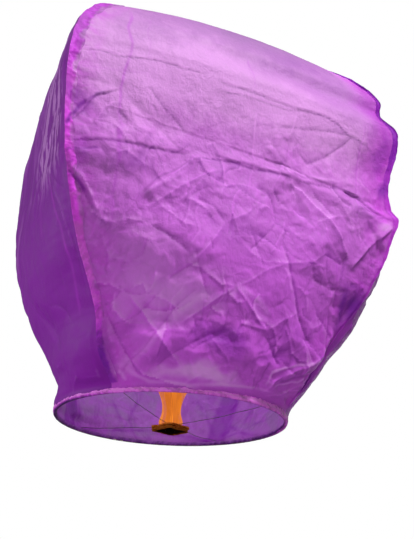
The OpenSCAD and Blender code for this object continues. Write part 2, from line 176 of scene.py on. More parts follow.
STREAKS = {   # packing folds that show as coloured lines: strength, width mm, points
    FRONT: [
        (0.9, 2.2, [(-0.8, 1.467), (-0.69, 1.104), (-0.71, 0.992), (-0.72, 0.823)]),
        (0.8, 3.0, [(-0.72, 0.927), (-0.72, 0.765)]),
        (0.6, 1.6, [(-0.72, 0.823), (-0.78, 0.623), (-0.82, 0.496), (-0.9, 0.362)]),
        (0.5, 1.4, [(-0.74, 0.742), (-0.82, 0.565), (-0.86, 0.462)]),
        (0.5, 1.2, [(-0.09, 0.742), (-0.09, 0.535)]),
        (0.35, 1.2, [(0.02, 0.912), (-0.01, 0.762)]),
        (0.8, 1.5, [(0.68, 0.638), (0.77, 0.523), (0.87, 0.446)]),
        (0.5, 1.2, [(0.76, 1.189), (0.77, 1.054), (0.74, 0.842)]),
        (0.55, 1.5, [(-1.0, 0.819), (-0.82, 0.854), (-0.7, 0.862), (-0.6, 0.858)]),
        (0.5, 1.2, [(0.32, 0.546), (0.51, 0.373), (0.81, 0.262)]),
        (0.5, 1.2, [(-0.95, 0.562), (-0.82, 0.492), (-0.74, 0.496)]),
        (0.4, 1.4, [(-1.0, 1.042), (-0.85, 1.058), (-0.72, 1.069), (-0.56, 1.085)]),
        (0.5, 1.4, [(0.02, 1.301), (0.03, 1.143)]),
        (0.35, 1.0, [(-0.64, 1.394), (-0.59, 1.124)]),
    ],
    RIGHT: [
        (0.9, 5.4, [(0.95, 0.30), (0.92, 0.104), (0.91, -0.6)]),
        (0.7, 3.4, [(0.97, 0.092), (0.61, 0.012), (0.27, -0.8)]),
        (0.6, 3.4, [(0.93, -0.333), (0.57, 0.058), (0.12, 0.085)]),
        (0.6, 3.4, [(0.60, 0.26), (0.68, 0.196), (0.74, 0.065), (0.88, -0.667)]),
    ],
    BACK: [
        (1.0, 4.1, [(-0.2, 0.05), (-0.36, 0.035), (-0.71, 0.008), (-0.97, -0.667)]),
        (0.7, 3.4, [(-0.61, 0.023), (-0.93, -0.667)]),
        (0.7, 2.7, [(0.97, -0.9), (0.03, 0.027), (-0.52, 0.05)]),
        (0.5, 4.1, [(0.88, 0.077), (0.84, -0.5)]),
        (0.6, 3.4, [(-0.99, -0.333), (-0.81, 0.138), (-0.68, 0.223)]),
        (0.5, 4.1, [(0.31, 0.169), (0.2, 0.046)]),
        (0.6, 3.4, [(-0.08, 0.208), (0.09, 0.081), (0.2, -0.333)]),
    ],
    LEFT: [
        (0.8, 2.5, [(0.58, 0.804), (0.73, 0.673), (0.82, 0.55), (0.85, 0.427), (0.8, 0.231)]),
        (0.4, 3.0, [(0.41, 0.765), (0.52, 0.546)]),
    ],
}
FRONT_PAINTED_LIGHT_STROKES = [   # painted light and painted shade on folds' sides: paler or darker, width mm, violet, points
    (0.4, 3.0, 0, [(-0.91, 0.05), (-0.69, 0.008), (-0.32, 0.0), (0.2, 0.023), (0.66, 0.038)]),
    (0.22, 7, 0, [(-0.96, 0.031), (-0.72, 0.096), (-0.54, 0.2), (-0.37, 0.296), (-0.18, 0.354)]),
    (-0.16, 10, 0, [(-0.96, 0.104), (-0.82, 0.173), (-0.64, 0.288)]),
    (-0.22, 11, 0, [(-0.87, 0.019), (-0.5, 0.108), (-0.16, 0.185), (0.22, 0.181)]),
    (0.28, 7, 0, [(-0.33, 0.042), (-0.08, 0.035), (0.14, 0.073)]),
    (0.55, 2.2, 0, [(0.46, 0.042), (0.48, 0.1), (0.65, 0.158), (0.82, 0.2), (1.0, 0.292),
                    (0.97, 0.35)]),
    (0.4, 1.8, 0, [(0.54, 0.054), (0.82, 0.112), (1.0, 0.227)]),
    (-0.3, 2.6, 0.3, [(0.59, 0.073), (0.84, 0.146), (0.97, 0.235)]),
    (-0.15, 5, 0.9, [(0.95, 0.085), (1.0, 0.142), (1.0, 0.208)]),
    (0.3, 1.6, 0, [(0.75, 0.05), (0.97, 0.108)]),
    (-0.55, 2.6, 0.9, [(-1.0, 0.877), (-0.97, 0.912), (-0.92, 0.965), (-0.88, 1.0)]),
    (-0.28, 2.0, 0.5, [(-0.88, 1.0), (-0.82, 1.008), (-0.78, 1.012)]),
    (-0.5, 1.8, 0.8, [(-1.0, 0.712), (-0.98, 0.7), (-0.95, 0.681), (-0.92, 0.638)]),
    (0.35, 2.0, 0, [(-0.95, 0.708), (-0.92, 0.673), (-0.88, 0.627)]),
    (-0.3, 1.5, 0.5, [(-1.0, 0.785), (-0.93, 0.792), (-0.82, 0.819)]),
    (-0.18, 5, 0.3, [(-1.0, 0.742), (-0.96, 0.742)]),
    (-0.1, 8, 0.8, [(-1.0, 0.158), (-0.99, 0.1), (-1.0, 0.042), (-1.0, -0.5)]),
    (0.3, 1.6, 0, [(-0.93, 0.038), (-0.87, 0.012)]),
    (-0.22, 6, 0, [(0.12, 0.092), (0.32, 0.131), (0.54, 0.196)]),
    (0.2, 5, 0, [(-0.11, 0.323), (-0.01, 0.388), (0.15, 0.358), (0.29, 0.304)]),
    (-0.2, 5, 0, [(-0.54, 0.946), (-0.62, 0.804), (-0.71, 0.746)]),
    (-0.15, 8, 0, [(-0.84, 0.938), (-0.77, 0.969), (-0.66, 0.962)]),
    (0.18, 6, 0, [(-0.82, 0.904), (-0.68, 0.923), (-0.54, 0.954)]),
    (0.25, 2.2, 0, [(-0.61, 0.665), (-0.5, 0.731), (-0.4, 0.781), (-0.32, 0.838)]),
    (-0.25, 1.6, 0, [(-0.62, 0.669), (-0.52, 0.75), (-0.38, 0.823), (-0.29, 0.9)]),
    (0.2, 2.4, 0, [(0.71, 1.027), (0.79, 1.015), (0.88, 1.004)]),
    (-0.25, 2.2, 0, [(0.22, 0.958), (0.42, 0.985), (0.66, 1.0), (0.85, 0.992)]),
    (0.22, 3, 0, [(0.26, 0.988), (0.44, 1.0), (0.68, 1.004)]),
    (-0.18, 5, 0, [(0.82, 0.831), (0.88, 0.904), (0.95, 0.962)]),
    (0.2, 5, 0, [(0.87, 0.804), (0.92, 0.881), (0.98, 0.935)]),
    (-0.15, 4, 0.5, [(0.84, 0.569), (0.94, 0.573), (1.0, 0.562)]),
]
FRONT_PAINTED_LIGHT_PATCHES = [   # painted light and shade patches: across, up, half width mm, half height mm, paler or darker, violet
    (0.985, 0.50, 15, 34, -0.12, 1.0), (0.99, 1.02, 12, 16, -0.12, 0.8),
    (0.78, 0.93, 44, 22, 0.04, 0.12), (0.60, 1.28, 150, 70, -0.24, 0.0),
    (-0.10, 0.86, 120, 60, -0.07, 0.0), (0.95, 1.30, 40, 60, -0.10, 0.0),
    (0.90, 0.473, 16, 26, -0.15, 0.95), (0.98, 0.24, 16, 14, -0.1, 0.9),
    (-0.09, 0.169, 48, 22, -0.30, 0.25), (-0.13, 0.045, 46, 14, 0.42, 0.0),
    (-0.43, 0.03, 40, 12, 0.30, 0.0), (-0.86, 0.06, 22, 18, 0.10, 0.0),
    (-0.57, 0.30, 60, 36, 0.22, 0.0), (-0.30, 0.36, 50, 40, 0.16, 0.0),
    (-0.04, 0.608, 60, 24, -0.12, 0.0), (-0.67, 0.773, 50, 16, -0.16, 0.0),
    (0.92, 1.10, 14, 30, -0.12, 0.35), (0.93, 0.90, 16, 12, 0.30, 0.0),
    (0.58, 0.669, 60, 40, -0.08, 0.0), (-0.6, 0.477, 40, 50, 0.14, 0.0),
    (-0.93, 0.99, 20, 12, -0.25, 0.3), (-0.92, 0.792, 16, 22, -0.12, 0.2),
    (0.34, 1.131, 90, 40, 0.10, 0.0), (0.55, 0.20, 40, 40, -0.12, 0.1),
    (0.35, 0.86, 70, 30, 0.10, 0.0),
]


# ---- curves, noise and points ---------------------------------------------------------
def curve_through(stations, values, at):
    """Monotone cubic curve through the values at the stations."""
    stations, values = np.asarray(stations, float), np.asarray(values, float)
    gap = np.diff(stations)
    slope = np.diff(values) / gap
    tangent = np.zeros_like(values)
    tangent[0], tangent[-1] = slope[0], slope[-1]
    for i in range(1, len(stations) - 1):
        if slope[i - 1] * slope[i] > 0:
            before, after = 2 * gap[i] + gap[i - 1], gap[i] + 2 * gap[i - 1]
            tangent[i] = (before + after) / (before / slope[i - 1] + after / slope[i])
    at = np.clip(at, stations[0], stations[-1])
    i = np.clip(np.searchsorted(stations, at, side="right") - 1, 0, len(stations) - 2)
    t = (at - stations[i]) / gap[i]
    return (values[i] * (1 + 2 * t) * (1 - t) ** 2 + gap[i] * tangent[i] * t * (1 - t) ** 2
            + values[i + 1] * t * t * (3 - 2 * t) + gap[i] * tangent[i + 1] * t * t * (t - 1))


def step01(value, start, end):
    """Smooth step from 0 at start to 1 at end."""
    t = np.clip((value - start) / (end - start), 0, 1)
    return t * t * (3 - 2 * t)


def taper(share, ends):
    return step01(share, 0, ends) * (1 - step01(share, 1 - ends, 1))


def hash01(column, row, seed):
    mixed = (column.astype(np.int64) * 374761393 + row.astype(np.int64) * 668265263
             + seed * 1442695041) & 0xFFFFFFFF
    mixed = ((mixed ^ (mixed >> 13)) * 1274126177) & 0xFFFFFFFF
    return (mixed ^ (mixed >> 16)) / 4294967295.0


def noise(x, y, seed):
    """Smooth noise from -1 to 1."""
    x, y = np.broadcast_arrays(np.asarray(x, float), np.asarray(y, float))
    column, row = np.floor(x), np.floor(y)
    right, top = step01(x - column, 0, 1), step01(y - row, 0, 1)
    low, high = (hash01(column, r, seed) * (1 - right) + hash01(column + 1, r, seed) * right
                 for r in (row, row + 1))
    return 2 * (low * (1 - top) + high * top) - 1


def fractal(x, y, seed, octaves=3):
    return sum(noise(x * 2**k, y * 2**k, seed + k) * 0.5**k for k in range(octaves))


def ridged(x, y, seed):
    """Sharp-crested noise, at most 0.5."""
    return 0.5 - np.abs(noise(x, y, seed)) * 1.4


def unit(vectors):
    return vectors / np.maximum(np.linalg.norm(vectors, axis=-1, keepdims=True), 1e-12)


def normals(grid):
    return unit(np.cross(np.gradient(grid, axis=1), np.gradient(grid, axis=0)))


def polar(r, angle, z):
    return np.stack(np.broadcast_arrays(r * np.cos(angle), r * np.sin(angle), z), -1)


def turned(points, angle):
    """Points turned about the Z axis."""
    c, s = math.cos(angle), math.sin(angle)
    points = np.array(points, float)
    points[..., :2] = points[..., :2] @ np.array([[c, s], [-s, c]])
    return points


def arc_length(points):
    """Distance along each line of points, from its first point."""
    steps = np.linalg.norm(np.diff(points, axis=-2), axis=-1)
    return np.concatenate([np.zeros_like(steps[..., :1]), np.cumsum(steps, axis=-1)], axis=-1)


def resample(at, stations, lines):
    """Points of each line at new stations along it."""
    return np.array([[np.interp(a, s, column) for column in line.T]
                     for a, s, line in zip(at, stations, lines)]).transpose(0, 2, 1)


# ---- smooth envelope surface ------------------------------------------------------------
def seam_profile(k, up):
    """Radius and height of seam k at rows up, and how far up the rows are, counted
    0 to 1 up the flare and 1 to nearly 2 over the crown."""
    reach, widest, shoulder, flare = SEAMS[k][:4]
    rise = np.clip(up, 0, 1)
    tip = math.acos((SEAM_TIP_R / reach) ** (shoulder / 2))
    turn = tip * np.clip(up - 1, 0, 1)
    over = turn / (math.pi / 2)
    z = (COLLAR_TOP + (COLLAR_TOP - COLLAR_BOTTOM) * np.clip(up, -1, 0)
         + (widest - COLLAR_TOP) * rise + (CROWN_Z - widest) * np.sin(turn) ** (2 / shoulder))
    r = (HOOP_R + (reach - HOOP_R) * np.sin(math.pi / 2 * rise) ** flare
         + reach * (np.cos(turn) ** (2 / shoulder) - 1))
    r = r + curve_through(SEAM_Z, SEAM_SHIFT[k], z) * np.clip(1 - over * 1.2, 0, 1)
    return r, z, rise + over


def seam_line(number, up):
    """Points of a seam (0 to 4, where 4 is seam 0 again) at rows up, and how far up they are."""
    k = number % 4
    r, z, place = seam_profile(k, up)
    wobble = 0.0016 * fractal(up * 14, 3.3 * k, 60 + k)
    if k == 1:
        wobble = wobble + curve_through(NOTCH_UP, NOTCH_SHIFT, up)
    r = r + wobble * step01(up, 0.02, 0.12) * (1 - step01(up, 1.55, 1.85))
    above = step01(z, COLLAR_TOP, COLLAR_TOP + 0.25)
    at_hoop, at_top = SEAMS[k][4:]
    angle = np.radians(at_hoop * (1 - above) + at_top * above + (360 if number == 4 else 0))
    points = polar(r, angle, z)
    points[:, :2] += LEAN * np.maximum(z - COLLAR_TOP, 0)[:, None]
    return points, place


def gore_surface(gore, up, across):
    """Grid of points of a smooth gore, one row for each up and one column for each across."""
    left, left_place = seam_line(gore, up)
    right, right_place = seam_line(gore + 1, up)
    place = (left_place + right_place) / 2
    span = SEAMS[(gore + 1) % 4][4] + (360 if gore == 3 else 0) - SEAMS[gore][4]
    half_angle = math.radians(span) / 2
    middle, half = (left + right) / 2, (right - left) / 2
    half_width = np.linalg.norm(half, axis=1)
    out = unit(np.stack([half[:, 1], -half[:, 0], 0 * half_width], -1))
    flare = step01(place, 0, 1)
    bow = half_width * math.tan(half_angle / 2) * (1 - flare) + BOW[gore] * flare
    # over the crown the gore's cross section turns into a quarter circle
    top = np.clip(place - 1, 0, 1)
    quarter = 1 - math.cos(math.pi / 4)
    crown_bow = half_width / math.sin(math.pi / 4) * (
        (BOW[gore] / SEAMS[gore][0]) * (1 - top**4) + quarter * top**4)
    bow = np.where(place > 1, crown_bow, bow)
    bow = bow + curve_through(BOW_Z, BOW_SHIFT[gore], middle[:, 2]) * np.clip(1 - top * 1.2, 0, 1)
    # the profile is a true circle at the hoop
    bend = (math.pi / 4 + (half_angle - math.pi / 4) * (1 - np.clip(place * 6, 0, 1)))[:, None]
    profile = (np.sqrt(1 - (across * np.sin(bend)) ** 2) - np.cos(bend)) / (1 - np.cos(bend))
    grid = (middle[:, None] + half[:, None] * across[:, None]
            + out[:, None] * (bow[:, None] * profile)[..., None])
    grid[..., 2] += (DROOP[gore] * np.sin(math.pi * top))[:, None] * (1 - across**2)
    return grid


# ---- flat maps ------------------------------------------------------------------------------
def blur(image, mm):
    ky = np.fft.fftfreq(image.shape[0], MAP_STEP)[:, None]
    kx = np.fft.rfftfreq(image.shape[1], MAP_STEP)[None]
    soften = np.exp(-2 * (np.pi * mm * 1e-3) ** 2 * (kx**2 + ky**2))
    return np.fft.irfft2(np.fft.rfft2(image) * soften, image.shape)


def facets(shape, size, seed):
    """A flat map of flat facets: random heights on scattered points, joined by triangles."""
    jitter = 0.95
    rng = np.random.default_rng(seed)
    columns, rows = int(shape[1] * MAP_STEP / size) + 4, int(shape[0] * MAP_STEP / size) + 4
    x, y = np.meshgrid(np.arange(columns) - 1.0, np.arange(rows) - 1.0)
    stagger = 0.5 * (np.arange(rows) % 2)[:, None]
    x = (x + stagger + rng.uniform(-0.5, 0.5, x.shape) * jitter) * size
    y = (y + rng.uniform(-0.5, 0.5, y.shape) * jitter) * size
    heights = rng.normal(0, 1, x.size).clip(-2, 2)
    points = [Vector((float(a), float(b))) for a, b in zip(x.ravel(), y.ravel())]
    corners, _, triangles, origins, _, _ = delaunay_2d_cdt(points, [], [], 0, 1e-7)
    corners = np.array([(v[0], v[1]) for v in corners])
    heights = np.array([heights[o[0]] if len(o) else 0.0 for o in origins])
    image = np.zeros(shape)
    for triangle in triangles:
        flat, height = corners[list(triangle)] / MAP_STEP, heights[list(triangle)]
        left, bottom = np.maximum(np.floor(flat.min(0)).astype(int), 0)
        right, top = np.minimum(np.ceil(flat.max(0)).astype(int) + 1, shape[::-1])
        if left >= right or bottom >= top:
            continue
        x, y = np.arange(left, right)[None], np.arange(bottom, top)[:, None]
        (xa, ya), (xb, yb), (xc, yc) = flat
        area2 = (yb - yc) * (xa - xc) + (xc - xb) * (ya - yc)
        if abs(area2) < 1e-9:
            continue
        share_a = ((yb - yc) * (x - xc) + (xc - xb) * (y - yc)) / area2
        share_b = ((yc - ya) * (x - xc) + (xa - xc) * (y - yc)) / area2
        inside = (share_a >= -1e-6) & (share_b >= -1e-6) & (share_a + share_b <= 1 + 1e-6)
        plane = share_a * height[0] + share_b * height[1] + (1 - share_a - share_b) * height[2]
        image[bottom:top, left:right][inside] = plane[inside]
    return image


def line_distance(x, y, line):
    """Distance to a line, its side (above 0 on the left), metres along it and share along it."""
    steps, starts = np.diff(line, axis=0), arc_length(line)
    nearest = np.full(x.shape, 1e9)
    side, along = np.zeros(x.shape), np.zeros(x.shape)
    for (x0, y0), (step_x, step_y), start in zip(line, steps, starts):
        length = math.hypot(step_x, step_y)
        dx, dy = x - x0, y - y0
        t = np.clip((dx * step_x + dy * step_y) / length**2, 0, 1)
        distance = np.hypot(dx - t * step_x, dy - t * step_y)
        near = distance < nearest
        nearest = np.where(near, distance, nearest)
        side = np.where(near, step_x * dy - step_y * dx, side)
        along = np.where(near, start + t * length, along)
    return nearest, side, along, along / starts[-1]


# facet layers of the relief: size, blur mm, share kept over the front's crown,
# share kept where the paper is smooth, and whether it follows the large or small rough patches
FACET_LAYERS = [
    (0.105, 1.5, 0.26, 1.0, 0),
    (0.056, 1.0, 0.14, 1.0, 0),
    (0.030, 0, 0.14, 0.35, 0),
    (0.0135, 0, 0.16, 0.30, 1),
    (0.0072, 0, 0.20, 0.30, 0),
]


class Gore:
    """One gore: flat maps of its relief, dye and painted light and shade, and the crumpled sheet."""

    def __init__(self, number, seed, facet_heights, swell):
        self.number, self.seed = number, seed
        over = 1 + (1 - np.cos(math.pi * np.linspace(0, 1, 3000))) / 2
        self.dense = np.concatenate([np.linspace(-1, 0, 40, endpoint=False),
                                     np.linspace(0, 1, 1500, endpoint=False), over])
        self.arc = arc_length(gore_surface(number, self.dense, np.array([0.0]))[:, 0])
        left, right = (seam_line(k, self.dense)[0] for k in (number, number + 1))
        self.half_width = np.linalg.norm(right - left, axis=1) / 2
        self.length = self.arc[-1]
        half = self.half_width.max() + 0.006
        x = -half + MAP_STEP * np.arange(int(2 * half / MAP_STEP) + 2)
        y = MAP_STEP * np.arange(int(self.length / MAP_STEP) + 8)
        self.x, self.y = np.meshgrid(x, y)
        self.height, self.shade, self.deep, self.streak = (
            np.zeros(self.x.shape) for _ in range(4))
        self.crumple(facet_heights, swell)
        self.add_creases()
        self.add_dye_and_painted_light()
        self.pucker()
        self.make_sheet()

    def flat(self, across, up):
        """Metres across and up the flat map."""
        return (across * np.interp(up, self.dense, self.half_width),
                np.interp(up, self.dense, self.arc))

    def flat_line(self, points):
        return np.stack(self.flat(*np.array(points).T), -1)

    def window(self, line, reach):
        """Rows and columns of the flat map within reach of a line."""
        low, high = line.min(0) - reach, line.max(0) + reach
        return (slice(*np.searchsorted(self.y[:, 0], (low[1], high[1]))),
                slice(*np.searchsorted(self.x[0], (low[0], high[0]))))

    def crumple(self, facet_heights, swell):
        x, y, seed = self.x, self.y, self.seed
        # where the paper is crumpled hard and where it lies smooth
        rough = [0.5 + 0.5 * np.clip(1.6 * fractal(x * 9 + 5, y * 9 + 2, seed + 5, 2), -1, 1),
                 0.5 + 0.5 * np.clip(1.8 * fractal(x * 16 + 1, y * 16 + 7, seed + 6, 2), -1, 1)]
        low = 1
        if self.number == FRONT:
            low = 1 - step01(np.interp(y, self.arc, self.dense), 0.95, 1.12)
        large, medium, small, fine = facet_heights
        heights = (large, 0.55 * large, medium, small, fine)
        for i, (size, soft, over, smooth, patch) in enumerate(FACET_LAYERS):
            layer = facets(x.shape, size, seed + i)
            if soft:
                layer = blur(layer, soft)
            self.height += (heights[i] * (over + (1 - over) * low) * layer
                            * (smooth + (1 - smooth) * rough[patch]))
        self.height += swell * fractal(x * 7 + 3 * self.number, y * 5, seed + 9, 2)

    def crease(self, kind, height, width, line):
        """Adds one fold along a line in metres, its height and width in mm.

        A pleat's raised side is on its left. Each fold gets painted light on one flank and
        painted shade on the other, and ridges and valleys a thin painted line along the middle.
        """
        height, width = height * 1e-3, width * 1e-3
        window = self.window(line, width * (4 if kind == "pleat" else 6))
        distance, side, along, share = line_distance(self.x[window], self.y[window], line)

        def fade(length):
            return np.exp(-distance / length)

        left = side > 0
        if kind == "pleat":
            profile = np.where(left, fade(width) * step01(distance, -0.0006, 0.0012),
                               0.10 * fade(0.35 * width) - 0.35 * fade(0.003))
            # painted light on the pleat's raised lip and a painted shadow below it
            dye_and_painted_light = np.where(left, 0.10 * fade(0.0045), -0.36 * fade(0.0021))
            dye_and_painted_light = dye_and_painted_light * min(1, height / 0.002)
        else:
            # a thin painted highlight along a ridge's crest and painted shade along a valley's hollow
            sign, core_painted_light = (1, 0.05) if kind == "ridge" else (-1, -0.10)
            flank = width * np.where(left, 0.55, 1.5)
            profile = sign * 1.35 * (0.72 * fade(0.62 * flank) + 0.28 * fade(2.4 * flank))
            profile = profile * (1 + 0.40 * noise(along / 0.011, distance / 0.02, 991))
            # the flank turned to the light from above right is painted light, the other painted shade
            run = line[-1] - line[0]
            facing = (-0.45 * run[1] + 0.89 * run[0]) / np.linalg.norm(run)
            dye_and_painted_light = np.sign(facing) * sign * np.sign(side) * min(0.26, 0.75 * height / width)
            dye_and_painted_light = dye_and_painted_light * (0.3 + 0.7 * abs(facing)) * (0.75 * fade(0.0022) + 0.35 * fade(0.008))
            dye_and_painted_light = dye_and_painted_light + core_painted_light * fade(0.0012)
        ends = taper(share, 0.15)
        self.height[window] += height * ends * profile
        self.shade[window] += ends * (1 + 0.35 * noise(along / 0.009, 0, 993)) * dye_and_painted_light

    def soft_line(self, width, line, seed):
        """Window and weight of a soft line of uneven strength, its width in mm."""
        width = width * 1e-3
        window = self.window(line, 3.2 * width + 0.004)
        x, y = self.x[window], self.y[window]
        bent_x = x + 0.0012 * noise(x * 60, y * 60, seed + 41)
        bent_y = y + 0.0012 * noise(x * 60 + 4, y * 60, seed + 42)
        distance, _, along, share = line_distance(bent_x, bent_y, line)
        strength = taper(share, 0.12) * (0.75 + 0.35 * noise(along / 0.02, 0, seed + 43))
        return window, strength * np.exp(-((distance / width) ** 2))

    def add_creases(self):
        for kind, height, width, points in CREASES.get(self.number, []):
            self.crease(kind, height, width, self.flat_line(points))
        # short sharp creases, thrown at random
        rng = np.random.default_rng(self.seed + 70)
        for k in range({FRONT: 150, LEFT: 10}.get(self.number, 60)):
            x, y = self.flat(rng.uniform(-0.9, 0.9), rng.uniform(0.08, 1.0))
            size = rng.uniform(0.010, 0.042)
            turn, bend = rng.uniform(0, math.pi), rng.normal(0, 0.35)
            t = np.linspace(-1, 1, 5)
            arch = bend * (1 - t * t)
            line_x = x + size * (t * math.cos(turn) - arch * math.sin(turn))
            line_x = line_x + rng.normal(0, 0.0012, 5)
            line_y = y + size * (t * math.sin(turn) + arch * math.cos(turn))
            line_y = line_y + rng.normal(0, 0.0012, 5)
            height = rng.uniform(0.3, 1.0) * (1 if self.number == FRONT else 0.7)
            self.crease(("ridge", "valley")[k % 2], height, rng.uniform(2.0, 4.5),
                        np.stack([line_x, line_y], -1))

    def add_dye_and_painted_light(self):
        seed = self.seed
        for strength, width, points in STREAKS[self.number]:
            window, dye_and_painted_light = self.soft_line(width, self.flat_line(points), seed)
            self.streak[window] = np.maximum(self.streak[window], strength * dye_and_painted_light)
        if self.number != FRONT:
            return
        # painted light and shade along the sides of folds, each with a little relief
        for strength, width, violet, points in FRONT_PAINTED_LIGHT_STROKES:
            line = self.flat_line(points)
            window, dye_and_painted_light = self.soft_line(width, line, seed)
            self.shade[window] += strength * dye_and_painted_light
            self.deep[window] = np.maximum(self.deep[window], violet * dye_and_painted_light)
            window, dye_and_painted_light = self.soft_line(width, line, seed=5)
            height = min(0.0022, 0.0006 + abs(strength) * width * 0.5e-3)
            self.height[window] += np.sign(strength) * height * dye_and_painted_light
        # painted light and shade in soft patches
        x, y = self.x, self.y
        drift_x = 0.012 * fractal(x * 30, y * 30, seed + 31)
        drift_y = 0.012 * fractal(x * 30 + 9, y * 30, seed + 33)
        for across, up, half_x, half_y, strength, violet in FRONT_PAINTED_LIGHT_PATCHES:
            centre_x, centre_y = self.flat(across, up)
            from_x = (x - centre_x + drift_x) / (half_x * 1e-3)
            from_y = (y - centre_y + drift_y) / (half_y * 1e-3)
            dye_and_painted_light = np.exp(-(from_x**2 + from_y**2) ** 1.3)
            self.shade += strength * dye_and_painted_light
            self.deep = np.maximum(self.deep, violet * dye_and_painted_light)

    def pucker(self):
        """Puckers that run in from the seams and gathers that run up from the hoop."""
        x, y, seed = self.x, self.y, self.seed
        pucker, gather = (0.0012, 0.0016) if self.number == LEFT else (0.0022, 0.0026)
        half_width = np.interp(y, self.arc, self.half_width)
        across = x / half_width
        from_seams = (1 + across) * half_width, (1 - across) * half_width
        for k, distance in enumerate(from_seams):
            distance = np.maximum(distance, 0)
            waver = 1.2 * noise(distance / 0.03, y / 0.03, seed + 20 + k)
            self.height += (pucker * ridged(distance / 0.055, y / 0.0115 + waver, seed + 11 + k)
                            * np.exp(-distance / 0.030)
                            * (0.45 + 0.55 * noise(0, y / 0.07, seed + 15 + k)))
        waver = 0.8 * noise(x / 0.03, y / 0.03, seed + 17)
        self.height += (gather * ridged(x / 0.012 + waver, y / 0.06, seed + 18)
                        * np.exp(-y / 0.034) * (0.5 + 0.5 * noise(x / 0.06, 0, seed + 19)))
        # the relief dies away at all four edges
        fade = (step01(from_seams[0], 0.0, 0.012) * step01(from_seams[1], 0.0, 0.012)
                * step01(y, 0.012, 0.026) * step01(self.length - y, 0.03, 0.10))
        if self.number == LEFT:
            # it sags in beside the crown's front left corner
            up = np.interp(y, self.arc, self.dense)
            self.height -= 0.0075 * np.exp(-((up - 1.38) / 0.20) ** 2
                                           - ((across - 0.62) / 0.34) ** 2)
        self.height *= fade
        # crest and hollow curvature, for painted light on crests and painted shade in hollows
        soft = blur(self.height, 0.8)
        around = sum(np.roll(soft, shift, axis) for axis in (0, 1) for shift in (1, -1))
        curvature = (around - 4 * soft) / MAP_STEP**2
        self.fold = np.clip(-curvature / 190.0, -1, 1) * fade

    def sample(self, image, x, y):
        column = np.clip((x - self.x[0, 0]) / MAP_STEP, 0, image.shape[1] - 1.001)
        row = np.clip(y / MAP_STEP, 0, image.shape[0] - 1.001)
        i, j = row.astype(int), column.astype(int)
        up, right = row - i, column - j
        return (image[i, j] * (1 - up) * (1 - right) + image[i + 1, j] * up * (1 - right)
                + image[i, j + 1] * (1 - up) * right + image[i + 1, j + 1] * up * right)

    def make_sheet(self):
        """The crumpled sheet as a grid of points, with its places on the flat map."""
        self.up = np.interp(np.linspace(0, self.length, ROWS), self.arc, self.dense)
        self.across = np.linspace(-1, 1, COLS)
        smooth = gore_surface(self.number, self.up, self.across)
        self.sheet_x, self.sheet_y = self.flat(
            *np.broadcast_arrays(self.across, self.up[:, None]))
        height = self.sample(self.height, self.sheet_x, self.sheet_y)
        self.points = smooth + normals(smooth) * height[..., None]


# ---- meshes ---------------------------------------------------------------------------------
def quads(rows, cols, wrap=False):
    i, j = np.meshgrid(np.arange(rows - 1), np.arange(cols if wrap else cols - 1), indexing="ij")
    right = (j + 1) % cols
    corners = [i * cols + j, i * cols + right, (i + 1) * cols + right, (i + 1) * cols + j]
    return np.stack(corners, -1).reshape(-1, 4)


def capped_tube(rows, cols):
    """Faces of a closed tube of rings."""
    return [*quads(rows, cols, True), range(cols)[::-1], range((rows - 1) * cols, rows * cols)]


def grid_uv(rows, cols):
    return np.stack(np.meshgrid(np.linspace(0.002, 0.998, cols), np.linspace(0.002, 0.998, rows)),
                    -1)


def add_mesh(name, verts, faces, material, attributes=None, uv=None, smooth=True):
    """Adds a mesh object. An attribute is one value for each vertex, or one for all."""
    mesh = bpy.data.meshes.new(name)
    verts = np.asarray(verts, np.float32).reshape(-1, 3)
    mesh.vertices.add(len(verts))
    mesh.vertices.foreach_set("co", verts.ravel())
    sizes = np.array([len(face) for face in faces], np.int32)
    corners = np.concatenate([np.asarray(face, np.int32) for face in faces])
    mesh.loops.add(len(corners))
    mesh.loops.foreach_set("vertex_index", corners)
    mesh.polygons.add(len(sizes))
    starts = np.concatenate([[0], np.cumsum(sizes)[:-1]]).astype(np.int32)
    mesh.polygons.foreach_set("loop_start", starts)
    mesh.update(calc_edges=True)
    mesh.validate()
    mesh.polygons.foreach_set("use_smooth", np.full(len(mesh.polygons), smooth))
    for key, values in (attributes or {}).items():
        attribute = mesh.attributes.new(key, "FLOAT", "POINT")
        attribute.data.foreach_set("value", np.resize(np.asarray(values, np.float32), len(verts)))
    if uv is not None:
        layer = mesh.uv_layers.new(name="OFBake")
        index = np.zeros(len(mesh.loops), np.int32)
        mesh.loops.foreach_get("vertex_index", index)
        layer.data.foreach_set("uv", np.asarray(uv, np.float32).reshape(-1, 2)[index].ravel())
    ob = bpy.data.objects.new(name, mesh)
    scene.collection.objects.link(ob)
    mesh.materials.append(material)
    return ob


def add_piece(node, verts, faces, material, slot, rides="mouth", **extra):
    """Adds a mesh that stands in for a CAD piece."""
    ob = add_mesh("visual_" + node, verts, faces, material, **extra)
    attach(ob, rides)
    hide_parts(node)
    return ob


def squash_envelope(ob):
    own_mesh(ob)


# ---- node trees -------------------------------------------------------------------------------
def srgb(*rgb):
    """Linear RGBA from sRGB channels of 0 to 255."""
    return tuple(c / 255 / 12.92 if c / 255 <= 0.04045 else ((c / 255 + 0.055) / 1.055) ** 2.4
                 for c in rgb) + (1.0,)


class Value:
    """An output in a node tree. Arithmetic on it adds Math nodes."""

    def __init__(self, tree, socket):
        self.tree, self.socket = tree, socket

    def __add__(self, other):
        return self.tree.math("ADD", self, other)

    def __radd__(self, other):
        return self.tree.math("ADD", other, self)

    def __sub__(self, other):
        return self.tree.math("SUBTRACT", self, other)

    def __mul__(self, other):
        return self.tree.math("MULTIPLY", self, other)

    def clamped(self):
        self.socket.node.use_clamp = True
        return self


